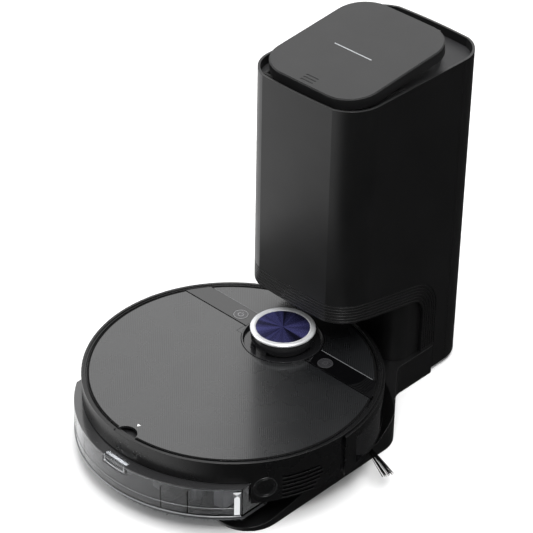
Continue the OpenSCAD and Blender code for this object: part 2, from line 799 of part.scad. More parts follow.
module deck_disc() {
    translate([0, 0, deck_low]) cylinder(r = cover_r, h = deck_t, $fn = 180);
}

module well_cut() {
    translate([0, lidar_y, deck_low - 10]) cylinder(r = well_r + 0.8, h = 30, $fn = 120);
}

seam_w = 0.8;

module front_deck() color("#2a2a2c") on_dock() difference() {
    deck_disc();
    translate([-200, -200, 0]) cube([400, 200 + strip_front_y + seam_w / 2, 200]);
    well_cut();
}

module button_strip() color("#1a1a1c") on_dock() difference() {
    deck_disc();
    translate([-200, -200, 0]) cube([400, 200 + strip_rear_y + seam_w / 2, 200]);
    translate([-200, strip_front_y - seam_w / 2, 0]) cube([400, 200, 200]);
    well_cut();
    for (x = [-button_x, button_x]) translate([x, button_y, deck_low - through])
        cylinder(r = button_r + slack, h = 10);
}

module button(x) {
    translate([x, button_y, deck_low - 1.5]) cylinder(r = button_r, h = deck_t + 1.6);
}

module power_button() color("#3c3c3f") on_dock() button(-button_x);

module home_button() color("#3c3c3f") on_dock() button(button_x);

module charge_pads() color("#c9a650") on_dock() mirrored()
    translate([contact_x - 9, contact_y - 5, clearance]) cube([18, 10, 1.1]);

cover_knuckle_x = 90;

module top_cover() color("#38383a") on_dock() {
    arm_w = 12;
    difference() {
        deck_disc();
        translate([-200, strip_rear_y - seam_w - 0.4, 0]) cube([400, 200, 200]);
        well_cut();
        translate([0, -cover_r - 2, deck_z + 2.2]) sphere(r = 14);
        for (x = [-cover_knuckle_x, cover_knuckle_x]) translate([x, cover_hinge_y, cover_hinge_z])
            rotate([0, 90, 0]) cylinder(r = cover_pin_r + 1.1, h = 24, center = true, $fn = 32);
        translate([-well_r - 1, cover_hinge_y - 7, 0]) cube([2 * well_r + 2, 20, 200]);
    }
    difference() {
        for (x = [-cover_knuckle_x, cover_knuckle_x]) translate([x - arm_w / 2, cover_hinge_y, cover_hinge_z])
            rotate([0, 90, 0]) cylinder(r = 2.2, h = arm_w, $fn = 32);
        for (x = [-cover_knuckle_x, cover_knuckle_x]) translate([x, cover_hinge_y, cover_hinge_z])
            rotate([0, 90, 0]) cylinder(r = cover_pin_r + run_fit, h = 40, center = true, $fn = 32);
    }
}

module cover_hinge_pins() color("#8a8a8e") on_dock() {
    for (s = [-1, 1]) translate([s * cover_knuckle_x, cover_hinge_y, cover_hinge_z]) {
        rotate([0, 90, 0]) cylinder(r = cover_pin_r, h = 20, center = true, $fn = 32);
        for (x = [-10, 6.6]) translate([x, -1.5, frame_z + 2.5 + eps - cover_hinge_z])
            cube([3.4, 3, cover_hinge_z - frame_z - 2.5 + 1.1]);
    }
}

module lidar_bezel() color("#141415") on_dock() translate([0, lidar_y, 0]) {
    floor_z = frame_z + 2.6;
    rotate_extrude($fn = 120)
        polygon([[rotor_r - 1, floor_z], [well_r, floor_z], [well_r, deck_z + 0.6], [well_r - 1.6, deck_z + 0.6],
            [well_r - 3.4, floor_z + 3], [rotor_r - 1, floor_z + 3]]);
    translate([0, 0, floor_z]) difference() {
        cylinder(r = rotor_r - 0.5, h = 3);
        translate([0, 0, -through]) cylinder(r = 9, h = 10);
    }
}

lidar_floor = frame_z + 5.6;
lidar_roof = lidar_h - 3.5;
lidar_wall = 2.7;       // thickness of the turret's outer wall
lidar_wall_r = lidar_r - 0.7;
rotor_r = lidar_wall_r - lidar_wall - 3;

module lidar_rotor() color("#0d0d0e") on_dock() translate([0, lidar_y, 0]) {
    difference() {
        translate([0, 0, lidar_floor + 0.6]) cylinder(r = rotor_r, h = lidar_roof - 3.4 - lidar_floor);
        translate([0, -rotor_r + 2.5, lidar_floor + 8]) cube([20, 12, 6], center = true);
    }
    translate([0, 0, frame_z - 6]) cylinder(r = 8, h = lidar_floor + 1 - frame_z + 6, $fn = 48);
}

module lidar_cap() color("#121213") on_dock() translate([0, lidar_y, 0]) {
    skirt_low = lidar_floor + 7.5;
    leg_h = skirt_low - lidar_floor + 1.5;
    leg_in_r = lidar_wall_r - lidar_wall + 0.2;
    translate([0, 0, lidar_roof - 2]) cylinder(r = lidar_wall_r, h = 2);
    difference() {
        translate([0, 0, skirt_low]) cylinder(r = lidar_wall_r, h = lidar_roof - 2 - skirt_low + eps);
        translate([0, 0, skirt_low - through]) cylinder(r = lidar_wall_r - lidar_wall, h = 30);
    }
    for (a = [30 : 120 : 270]) ring_part(leg_in_r, lidar_wall_r - 0.2, lidar_floor + eps, leg_h, a - 12, 24);
}

module lidar_ring() color("#c8cacd") on_dock() translate([0, lidar_y, 0]) {
    low = lidar_roof + eps;
    rotate_extrude($fn = 120)
        polygon([[lidar_r - lidar_ring_w, low], [lidar_r - 0.4, low], [lidar_r, low + 0.6], [lidar_r, lidar_h - 1.1],
            [lidar_r - 1.2, lidar_h], [lidar_r - lidar_ring_w + 1.4, lidar_h],
            [lidar_r - lidar_ring_w, lidar_h - 0.8]]);
}

module lidar_disc() color("#2b2c66") on_dock() translate([0, lidar_y, lidar_roof + eps])
    cylinder(r = lidar_r - lidar_ring_w - 0.15, h = lidar_h - 1.2 - lidar_roof, $fn = 120);

bumper_r = body_r + bumper_proud;
bumper_t = 3;
bumper_top = body_h - 3;
window_low = 28;
window_top = 66;

module bumper() color("#1b1b1c") on_dock() difference() {
    ring_part(bumper_r - bumper_t, bumper_r, wall_z, bumper_top - wall_z, 0, 180);
    translate([-200, -200, 0]) cube([400, 200 + bumper_gap, 200]);
    ring_part(bumper_r - 1.4, bumper_r + 1, window_low, window_top - window_low, 7, 166);
}

module bumper_window() color("#050506") on_dock()
    ring_part(bumper_r - 1.4 + 0.02, bumper_r, window_low + 0.1, window_top - window_low - 0.2, 7.05, 165.9);

module tank_plan(inset = 0) {
    intersection() {
        translate([0, -tank_c]) circle(r = tank_r - inset, $fn = 240);
        translate([-tank_half_w + inset, -tank_reach - 10])
            square([2 * (tank_half_w - inset), tank_reach + 10 - tank_front_y - inset]);
    }
}

tank_low = clearance + 1;
tab_half_w = 17;
tab_low = tank_top - 10;
tab_back = -tank_reach + 8;
tab_travel = 2;

module tab_pocket(gap) {
    translate([-tab_half_w - gap, -tank_reach - 5, tab_low - gap])
        cube([2 * (tab_half_w + gap), tab_back + tank_reach + 5 + (gap > 0 ? tab_travel + gap : 0),
              tank_top - tab_low + 2 * gap]);
}

module water_tank() color([0.25, 0.27, 0.3, 0.55]) on_dock() {
    rim = 1.8;
    difference() {
        translate([0, 0, tank_low]) linear_extrude(height = tank_top - rim - tank_low) tank_plan();
        difference() {
            translate([0, 0, tank_low + tank_t]) linear_extrude(height = tank_top) tank_plan(tank_t);
            translate([-tab_half_w - 3, -tank_reach, tab_low - 3])
                cube([2 * tab_half_w + 6, tab_back + tank_reach + tab_travel + 3, 30]);
            for (x = [-90, -62, 62, 90]) translate([x - 0.8, -200, 0]) cube([1.6, 62, tank_top - 8]);
        }
        tab_pocket(0.4);
    }
}

module tank_cover() color("#242527") on_dock() {
    rim = 1.8;
    difference() {
        translate([0, 0, tank_top - rim + eps]) linear_extrude(height = rim) tank_plan();
        translate([0, 0, 0]) tab_pocket(0.4);
        translate([70, -tank_front_y - 24, tank_top - 5]) cylinder(r = 10, h = 10);
    }
    translate([70, -tank_front_y - 24, tank_top - 1.6]) cylinder(r = 9.9, h = 1.5);
}

module tank_tab() color("#8f9398") on_dock() intersection() {
    difference() {
        tab_pocket(0);
        translate([-tab_half_w + 2, -tank_reach - 5, tab_low + 2])
            cube([2 * tab_half_w - 4, 7, tank_top - tab_low - 4]);
    }
    translate([0, 0, tab_low]) linear_extrude(height = tank_top - tab_low) tank_plan();
}

mop_front_y = tank_front_y - 12;

module mop_outline(inset) {
    intersection() {
        translate([0, -tank_c]) circle(r = tank_r - inset, $fn = 240);
        translate([-tank_half_w + inset - 3, -tank_reach - 10])
            square([2 * (tank_half_w - inset + 3), tank_reach + 10 - mop_front_y - inset]);
    }
}

module mop_plate() color("#3f4043") on_dock()
    translate([0, 0, pad_t + 0.4]) linear_extrude(height = clearance - 0.2 - pad_t - 0.4) mop_outline(4);

module mop_pad() color("#5a5b5e") on_dock()
    translate([0, 0, slack]) linear_extrude(height = pad_t) mop_outline(7);

bin_half_w = 74;
bin_y0 = -82;
bin_y1 = roller_y - roller_r - 5.5;
bin_low = clearance + 4;

module dust_bin() color([0.22, 0.23, 0.25, 0.7]) on_dock() {
    wall = 2;
    rim = 4;
    l = bin_y1 - bin_y0;
    translate([0, (bin_y0 + bin_y1) / 2, 0]) {
        difference() {
            translate([0, 0, bin_low]) rounded_box([2 * bin_half_w, l, frame_z + 2.6 - bin_low], 6);
            translate([0, 0, bin_low + wall])
                rounded_box([2 * bin_half_w - 2 * wall, l - 2 * wall, 100], 4);
            translate([-56, l / 2 - 5, 19]) cube([112, 10, 14]);
        }
        difference() {
            translate([0, 0, frame_z + 2.6]) rounded_box([2 * bin_half_w + 2 * rim, l + 2 * rim, 2.2], 8);
            translate([0, 0, frame_z + 3.4]) rounded_box([70, 26, 5], 8);
        }
    }
}

module bin_filter() color("#d9dadc") on_dock() {
    pleats = 8;
    pitch = 32 / pleats;
    translate([bin_half_w + 3, -78, 20]) difference() {
        cube([11, 34, 40]);
        for (i = [0 : pleats - 1]) translate([5, 1.5 + i * pitch, 3]) cube([8, pitch * 0.5, 34]);
    }
}

module blower() color("#77797d") on_dock() translate([114, -61, clearance + 4]) {
    difference() {
        cylinder(r = 22, h = 40);
        translate([0, 0, 30]) cylinder(r = 17, h = 20);
    }
    for (a = [0 : 45 : 315]) rotate([0, 0, a]) translate([6, -0.6, 29]) cube([9, 1.2, 9]);
    translate([0, 0, 29]) cylinder(r = 7, h = 9);
}

module battery() color("#2d4d7a") on_dock() {
    cell_r = 9.2;
    for (i = [-3 : 3], z = [0, 1])
        translate([i * 2 * cell_r, 78.7, clearance + 4 + cell_r + z * 2 * cell_r]) rotate([90, 0, 0])
            cylinder(r = cell_r - 0.1, h = 46, center = true, $fn = 32);
    for (y = [53.2, 101.8]) translate([-70, y, clearance + 3.2]) cube([140, 2.4, 38]);
}

module main_board() color("#1f5a36") on_dock() translate([-134, -83, clearance + 24.2]) {
    cube([50, 42, 1.6]);
    for (p = [[8, 8, 12, 4], [26, 10, 14, 3], [10, 26, 20, 6], [36, 28, 8, 9]])
        translate([p[0], p[1], 1.6 - eps]) cube([p[2], 10, p[3]]);
}

module arm_pins() color("#8a8a8e") on_dock() {
    for (s = [-1, 1]) translate([s * (arm_x + 2.5), arm_pivot_y, arm_pivot_z]) rotate([0, 90, 0])
        cylinder(r = pin_r, h = 20, center = true, $fn = 32);
}

module arm(side) {
    t = 6;
    axle_r = 4;
    hub_r = min(16, wheel_z - clearance - 4);
    difference() {
        hull() {
            translate([side * arm_x, arm_pivot_y, arm_pivot_z]) rotate([0, 90, 0])
                cylinder(r = 7, h = t, center = true, $fn = 32);
            translate([side * arm_x, wheel_y, wheel_z]) rotate([0, 90, 0])
                cylinder(r = hub_r, h = t, center = true, $fn = 32);
        }
        translate([side * arm_x, arm_pivot_y, arm_pivot_z]) rotate([0, 90, 0])
            cylinder(r = pin_r + run_fit, h = 20, center = true, $fn = 32);
    }
    translate([side * (arm_x + 14), wheel_y, wheel_z]) rotate([0, 90, 0])
        cylinder(r = axle_r, h = 24, center = true, $fn = 32);
}

module arm_left() color("#55575a") on_dock() arm(-1);

module arm_right() color("#55575a") on_dock() arm(1);

module drive_wheel(side) {
    lugs = 24;
    translate([side * wheel_x, wheel_y, wheel_z]) rotate([0, 90, 0]) difference() {
        union() {
            cylinder(r = wheel_r - 1.6, h = wheel_w, center = true, $fn = 96);
            for (a = [0 : 360 / lugs : 359]) rotate([0, 0, a])
                intersection() {
                    cylinder(r = wheel_r, h = wheel_w - 2, center = true, $fn = 96);
                    translate([wheel_r - 2, 0, 0]) cube([6, 3.6, wheel_w], center = true);
                }
        }
        cylinder(r = 4 + run_fit, h = wheel_w + 4, center = true, $fn = 32);
        translate([0, 0, side * wheel_w / 2]) cylinder(r = 20, h = 6, center = true);
    }
}

module wheel_left() color("#2a2a2b") on_dock() drive_wheel(-1);

module wheel_right() color("#2a2a2b") on_dock() drive_wheel(1);

caster_r = 12.5;

module caster_fork() color("#3b3b3d") on_dock() translate([0, caster_y, 0]) {
    difference() {
        union() {
            translate([0, 0, 28]) cylinder(r = 22, h = 4);
            translate([0, 0, 31]) cylinder(r = 5, h = 12, $fn = 48);
            for (x = [-11, 8]) translate([x, -7, 8]) cube([3, 14, 21]);
        }
        translate([0, 0, caster_r + slack]) rotate([0, 90, 0]) cylinder(r = 2, h = 40, center = true, $fn = 32);
    }
}

module caster_wheel() color("#6a6a6d") on_dock() translate([0, caster_y, caster_r + slack]) rotate([0, 90, 0]) {
    cylinder(r = caster_r, h = 15, center = true);
    cylinder(r = 2 - run_fit, h = 22, center = true, $fn = 32);
}

hub_low = 3.4;

module side_brush_hub() color("#2f3033") on_dock() translate([brush_x, brush_y, 0]) {
    translate([0, 0, hub_low]) cylinder(r = 13, h = clearance - 0.4 - hub_low);
    for (a = [0 : 120 : 240]) rotate([0, 0, a + brush_turn])
        translate([10, -3, hub_low + 0.8]) cube([13, 6, 3.4]);
    translate([0, 0, clearance - 1]) cylinder(r = 6, h = 16, $fn = 48);
}

brush_turn = -21;
// Length that each tuft reaches; the second is pressed back by the plinth's pocket.
tuft_reach = [brush_reach, 40, brush_reach - 20];

module side_brush_bristles() color("#151515") on_dock() translate([brush_x, brush_y, 0]) {
    droop = 2.2;
    for (i = [0 : 2], k = [-1 : 1]) rotate([0, 0, 120 * i + brush_turn + 3.2 * k])
        translate([23.1, 0, hub_low + 2.4]) rotate([0, 90 + droop, 0])
            cylinder(r = 0.8, h = tuft_reach[i] - 23, $fn = 16);
}

module main_roller() color("#303135") on_dock() translate([0, roller_y, roller_z]) rotate([0, 90, 0]) {
    blades = 6;
    core_r = roller_r - 7;
    blade_half_l = roller_half_l - 0.5;
    cylinder(r = core_r, h = 2 * roller_half_l, center = true);
    for (k = [0 : blades - 1]) rotate([0, 0, k * 360 / blades])
        translate([core_r - 2, -1, -blade_half_l]) cube([roller_r - 0.3 - core_r + 2, 2, 2 * blade_half_l]);
    for (side = [-1, 1]) translate([0, 0, side * (roller_half_l + 1)]) cylinder(r = 3, h = 6, center = true, $fn = 32);
}

base_plate();
base_cover();
rubber_feet();
port_seal();
contact_left();
contact_right();
column_cover();
front_shell();
rear_shell();
bag_chamber();
dust_bag();
bag_card();
suction_duct();
fan_motor();
fan_impeller();
exhaust_filter();
station_board();
power_inlet();
station_screws();
station_lid();
lid_light();
lid_seal();
lid_hinge_pins();
chassis();
body_shell();
inner_deck();
front_deck();
button_strip();
charge_pads();
power_button();
home_button();
top_cover();
cover_hinge_pins();
lidar_bezel();
lidar_rotor();
lidar_cap();
lidar_ring();
lidar_disc();
bumper();
bumper_window();
water_tank();
tank_cover();
tank_tab();
mop_plate();
mop_pad();
dust_bin();
bin_filter();
blower();
battery();
main_board();
arm_pins();
arm_left();
arm_right();
wheel_left();
wheel_right();
caster_fork();
caster_wheel();
side_brush_hub();
side_brush_bristles();
main_roller();
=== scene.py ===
"""Robot vacuum on its self-emptying station: materials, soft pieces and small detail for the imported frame."""

import math

import bpy
import numpy as np
from mathutils import Matrix, Vector


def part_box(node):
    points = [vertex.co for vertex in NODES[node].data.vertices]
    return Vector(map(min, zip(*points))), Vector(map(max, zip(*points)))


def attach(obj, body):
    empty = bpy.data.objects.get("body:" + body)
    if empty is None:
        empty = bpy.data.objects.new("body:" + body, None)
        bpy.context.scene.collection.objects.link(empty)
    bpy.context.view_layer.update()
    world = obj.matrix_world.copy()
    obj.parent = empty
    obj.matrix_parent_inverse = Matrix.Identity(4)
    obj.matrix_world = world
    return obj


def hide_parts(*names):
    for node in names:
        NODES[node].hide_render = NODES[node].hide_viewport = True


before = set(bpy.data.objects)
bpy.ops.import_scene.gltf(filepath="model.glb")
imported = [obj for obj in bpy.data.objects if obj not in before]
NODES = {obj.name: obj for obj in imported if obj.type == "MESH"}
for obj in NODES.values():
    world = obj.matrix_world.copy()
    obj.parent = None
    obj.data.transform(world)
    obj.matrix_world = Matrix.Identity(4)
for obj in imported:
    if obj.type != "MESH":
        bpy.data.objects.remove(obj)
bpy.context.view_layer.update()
MM = 0.001
BODY_R = 175 * MM
TANK_CENTRE_Y = -19 * MM  # centre of the arc that the tank and its pad share
WAVE_SCALE = math.tau / 20  # a wave texture's scale is this over the distance between its lines

# ---------- node trees ----------


def look_of(name, colour, roughness, **sockets):
    """A Principled material; values that are the same all over are set on the shader's own sockets."""
    look = bpy.data.materials.new(name)
    look.use_nodes = True
    shader = look.node_tree.nodes["Principled BSDF"]
    shader.inputs["Base Color"].default_value = (*colour, 1)
    shader.inputs["Roughness"].default_value = roughness
    for socket, value in sockets.items():
        shader.inputs[socket.replace("_", " ")].default_value = value
    look.diffuse_color = (*colour, 1)
    return look


def node(look, kind, **values):
    """A shader node; each value goes to the input of that name, or else to the node's own setting."""
    made = look.node_tree.nodes.new("ShaderNode" + kind)
    for key, value in values.items():
        if key in made.inputs:
            made.inputs[key].default_value = value
        else:
            setattr(made, key, value)
    return made


def wire(look, source, target):
    look.node_tree.links.new(source, target)


def shader_of(look):
    return look.node_tree.nodes["Principled BSDF"]


def place_of(look):
    """Position on the object at rest, in metres."""
    return node(look, "TexCoord").outputs["Object"]


def noise(look, size, detail=2.0, rough=0.5, stretch=(1, 1, 1)):
    """Noise whose features are about size metres across."""
    mapping = node(look, "Mapping", Scale=stretch)
    wire(look, place_of(look), mapping.inputs["Vector"])
    made = node(look, "TexNoise", Scale=1 / size, Detail=detail, Roughness=rough)
    wire(look, mapping.outputs["Vector"], made.inputs["Vector"])
    return made.outputs["Fac"]


def remap(look, fac, low, high, from_low=0.3, from_high=0.7):
    made = node(look, "MapRange")
    made.inputs["From Min"].default_value = from_low
    made.inputs["From Max"].default_value = from_high
    made.inputs["To Min"].default_value = low
    made.inputs["To Max"].default_value = high
    wire(look, fac, made.inputs["Value"])
    return made.outputs["Result"]


def mix_colours(look, fac, first, second):
    made = node(look, "Mix", data_type="RGBA")
    wire(look, fac, made.inputs["Factor"])
    colour_a, colour_b = (i for i in made.inputs if i.type == "RGBA")
    colour_a.default_value = (*first, 1)
    colour_b.default_value = (*second, 1)
    return next(o for o in made.outputs if o.type == "RGBA")


def bump(look, height, distance, strength=1.0, under=None):
    made = node(look, "Bump", Distance=distance, Strength=strength)
    wire(look, height, made.inputs["Height"])
    if under is not None:
        wire(look, under, made.inputs["Normal"])
    return made.outputs["Normal"]


def soft_edges(look, radius):
    """Edges rounded by radius, so that they catch the light as moulded edges do."""
    return node(look, "Bevel", samples=4, Radius=radius).outputs["Normal"]


def shade(colour, factor):
    return tuple(min(1.0, c * factor) for c in colour)


# ---------- materials ----------


def moulded(name, colour, roughness, grain=0.6 * MM, depth=0.02 * MM, edge=0.5 * MM, vary=0.12, **sockets):
    """Moulded plastic: fine eroded grain, slightly uneven gloss and colour, rounded edges."""
    look = look_of(name, colour, roughness, **sockets)
    shader = shader_of(look)
    cloud = noise(look, 35 * MM, 4, 0.6)
    wire(look, remap(look, cloud, roughness * (1 - vary), roughness * (1 + vary)), shader.inputs["Roughness"])
    patches = remap(look, noise(look, 60 * MM, 3), 0, 1)
    wire(look, mix_colours(look, patches, shade(colour, 0.85), shade(colour, 1.15)),
         shader.inputs["Base Color"])
    edges = soft_edges(look, edge)
    wire(look, bump(look, noise(look, grain, 2), depth, 1.0, edges), shader.inputs["Normal"])
    return look


def ridged(name, colour, crest_highlight_colour, pitch, heading, roughness):
    """Clear-coated cover with fine straight ridges moulded under the coat, their crests painted lighter as a
    painted highlight.
    """
    look = look_of(name, colour, roughness, IOR=1.5, Coat_Weight=1.0, Coat_Roughness=0.17, Coat_IOR=1.5)
    shader = shader_of(look)
    mapping = node(look, "Mapping", Rotation=(0, 0, -heading))
    wire(look, place_of(look), mapping.inputs["Vector"])
    lines = node(look, "TexWave", wave_type="BANDS", bands_direction="Y", wave_profile="SIN",
                 Scale=WAVE_SCALE / pitch, Distortion=0.0)
    wire(look, mapping.outputs["Vector"], lines.inputs["Vector"])
    # painted highlight: the ridge crests are painted lighter, as if they caught the light
    painted_crest_highlight = remap(look, lines.outputs["Fac"], 0, 1, 0.5, 0.95)
    wire(look, mix_colours(look, painted_crest_highlight, colour, crest_highlight_colour), shader.inputs["Base Color"])
    wire(look, remap(look, noise(look, 50 * MM, 3), roughness * 0.85, roughness * 1.15),
         shader.inputs["Roughness"])
    wire(look, bump(look, lines.outputs["Fac"], 0.12 * MM, 0.6), shader.inputs["Normal"])
    wire(look, soft_edges(look, 0.4 * MM), shader.inputs["Coat Normal"])
    return look


def glossy(name, colour, roughness=0.12, edge=0.4 * MM, coat=0.6, coat_roughness=0.04):
    """Polished plastic with faint flow marks and fine wipe marks."""
    look = look_of(name, colour, roughness, Coat_Weight=coat, Coat_Roughness=coat_roughness)
    shader = shader_of(look)
    wipe = noise(look, 3 * MM, 3, 0.6, stretch=(0.15, 1, 1))
    wire(look, remap(look, wipe, roughness * 0.7, roughness * 1.4), shader.inputs["Roughness"])
    wire(look, mix_colours(look, noise(look, 90 * MM), shade(colour, 0.8), shade(colour, 1.2)),
         shader.inputs["Base Color"])
    wire(look, bump(look, noise(look, 25 * MM), 0.05 * MM, 0.3, soft_edges(look, edge)),
         shader.inputs["Normal"])
    return look


def turned_metal(name, colour, roughness, centre, pitch=0.25 * MM, anisotropic=0.0, painted_fan_highlight=0.0):
    """Metal turned on a lathe about an upright axis at centre; the last argument sets how far its colour is
    painted lighter and darker in a fan round the axis, a painted highlight.
    """
    look = look_of(name, colour, roughness, Metallic=0.45, Anisotropic=anisotropic)
    shader = shader_of(look)
    mapping = node(look, "Mapping", Location=(-centre[0], -centre[1], 0))
    wire(look, place_of(look), mapping.inputs["Vector"])
    rings = node(look, "TexWave", wave_type="RINGS", rings_direction="Z", wave_profile="SIN",
                 Scale=WAVE_SCALE / pitch, Distortion=0.4)
    wire(look, mapping.outputs["Vector"], rings.inputs["Vector"])
    wire(look, bump(look, rings.outputs["Fac"], 0.01 * MM, 0.5, soft_edges(look, 0.3 * MM)),
         shader.inputs["Normal"])
    split = node(look, "SeparateXYZ")
    wire(look, mapping.outputs["Vector"], split.inputs["Vector"])
    angle = node(look, "Math", operation="ARCTAN2")
    wire(look, split.outputs["Y"], angle.inputs[0])
    wire(look, split.outputs["X"], angle.inputs[1])
    # painted highlight: the colour is made lighter and darker in a fan round the axis, for the light that fans
    # out on turned metal
    fan = node(look, "TexNoise", noise_dimensions="1D", Scale=1.6, Detail=3.0)
    wire(look, angle.outputs["Value"], fan.inputs["W"])
    painted_highlight_spread = remap(look, fan.outputs["Fac"], 0, 1, 0.35, 0.65)
    wire(look, mix_colours(look, painted_highlight_spread, shade(colour, 1 - painted_fan_highlight), shade(colour, 1 + painted_fan_highlight)),
         shader.inputs["Base Color"])
    wire(look, remap(look, rings.outputs["Fac"], roughness * 0.8, roughness * 1.2, 0, 1),
         shader.inputs["Roughness"])
    return look


def clear_plastic(name, colour, roughness=0.05):
    """Smoked clear plastic, with faint waviness from its mould and a slightly milky inside."""
    look = look_of(name, colour, roughness, Transmission_Weight=1.0, IOR=1.46)
    shader = shader_of(look)
    wire(look, remap(look, noise(look, 12 * MM, 3), roughness, roughness * 4), shader.inputs["Roughness"])
    wire(look, mix_colours(look, noise(look, 30 * MM), shade(colour, 0.9), shade(colour, 1.08)),
         shader.inputs["Base Color"])
    wire(look, bump(look, noise(look, 14 * MM, 1), 0.05 * MM, 0.3), shader.inputs["Normal"])
    return look


def rubber(name, colour, roughness=0.75):
    """Matt rubber with a coarse skin, dulled by dust in patches."""
    look = look_of(name, colour, roughness, Sheen_Weight=0.15, Sheen_Roughness=0.5)
    shader = shader_of(look)
    dust = noise(look, 8 * MM, 5, 0.65)
    wire(look, mix_colours(look, remap(look, dust, 0, 1, 0.45, 0.75), colour, shade(colour, 1.9)),
         shader.inputs["Base Color"])
    wire(look, remap(look, dust, roughness * 0.9, min(1.0, roughness * 1.2)), shader.inputs["Roughness"])
    wire(look, bump(look, noise(look, 0.9 * MM, 3), 0.06 * MM, 1.0, soft_edges(look, 0.6 * MM)),
         shader.inputs["Normal"])
    return look


def woven(name, colour, thread, roughness=0.95, fuzz=0.5):
    """Cloth: crossing threads of the given width, with sheen and slight mottling; the gaps between threads are
    painted darker and the threads lighter, as painted shade.
    """
    look = look_of(name, colour, roughness, Sheen_Weight=fuzz, Sheen_Roughness=0.4)
    shader = shader_of(look)
    place = place_of(look)
    heights = []
    for direction in ("X", "Y"):
        wave = node(look, "TexWave", wave_type="BANDS", bands_direction=direction, wave_profile="SIN",
                    Scale=WAVE_SCALE / thread, Distortion=1.5, Detail=1.0)
        wire(look, place, wave.inputs["Vector"])
        heights.append(wave.outputs["Fac"])
    both = node(look, "Math", operation="MAXIMUM")
    wire(look, heights[0], both.inputs[0])
    wire(look, heights[1], both.inputs[1])
    # painted shade: darker in the gaps between threads, lighter on the threads
    wire(look, mix_colours(look, both.outputs["Value"], shade(colour, 0.6), shade(colour, 1.15)),
         shader.inputs["Base Color"])
    wire(look, remap(look, noise(look, 10 * MM, 4), roughness * 0.9, 1.0), shader.inputs["Roughness"])
    fibre = bump(look, noise(look, 0.5 * MM, 4, 0.7), 0.2 * MM, 0.6)
    wire(look, bump(look, both.outputs["Value"], thread * 0.35, 0.8, fibre), shader.inputs["Normal"])
    return look


def brushed_metal(name, colour, roughness):
    """Metal with fine scratches that run along Y."""
    look = look_of(name, colour, roughness, Metallic=1.0)
    shader = shader_of(look)
    hair = noise(look, 0.5 * MM, 3, 0.6, stretch=(1, 0.06, 1))
    wire(look, remap(look, hair, roughness * 0.75, roughness * 1.3), shader.inputs["Roughness"])
    wire(look, mix_colours(look, noise(look, 15 * MM, 3), shade(colour, 0.85), shade(colour, 1.1)),
         shader.inputs["Base Color"])
    wire(look, bump(look, hair, 0.01 * MM, 0.6, soft_edges(look, 0.3 * MM)), shader.inputs["Normal"])
    return look


def circuit_board(name):
    """Green solder mask with a blocky pattern of copper tracks under it."""
    mask, track = (0.012, 0.10, 0.035), (0.05, 0.24, 0.09)
    look = look_of(name, mask, 0.35, Coat_Weight=0.3, Coat_Roughness=0.2)
    shader = shader_of(look)
    cells = node(look, "TexVoronoi", feature="DISTANCE_TO_EDGE", distance="CHEBYCHEV", Scale=1 / (4 * MM))
    wire(look, place_of(look), cells.inputs["Vector"])
    wire(look, mix_colours(look, remap(look, cells.outputs["Distance"], 1, 0, 0.02, 0.08), mask, track),
         shader.inputs["Base Color"])
    wire(look, remap(look, noise(look, 5 * MM), 0.28, 0.45), shader.inputs["Roughness"])
    wire(look, bump(look, cells.outputs["Distance"], 0.03 * MM, 0.5, soft_edges(look, 0.2 * MM)),
         shader.inputs["Normal"])
    return look


def glowing(name, colour, strength):
    """Frosted plastic with a faint glow and a slightly uneven colour."""
    look = look_of(name, colour, 0.5, Emission_Color=(*colour, 1), Emission_Strength=strength)
    shader = shader_of(look)
    wire(look, mix_colours(look, noise(look, 4 * MM), shade(colour, 0.8), shade(colour, 1.1)),
         shader.inputs["Base Color"])
    wire(look, bump(look, noise(look, 0.4 * MM), 0.02 * MM), shader.inputs["Normal"])
    return look


def centre_of(name):
    low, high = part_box(name)
    return (low + high) / 2


LIDAR = centre_of("lidar_ring")
RIDGE_HEADING = math.radians(135)

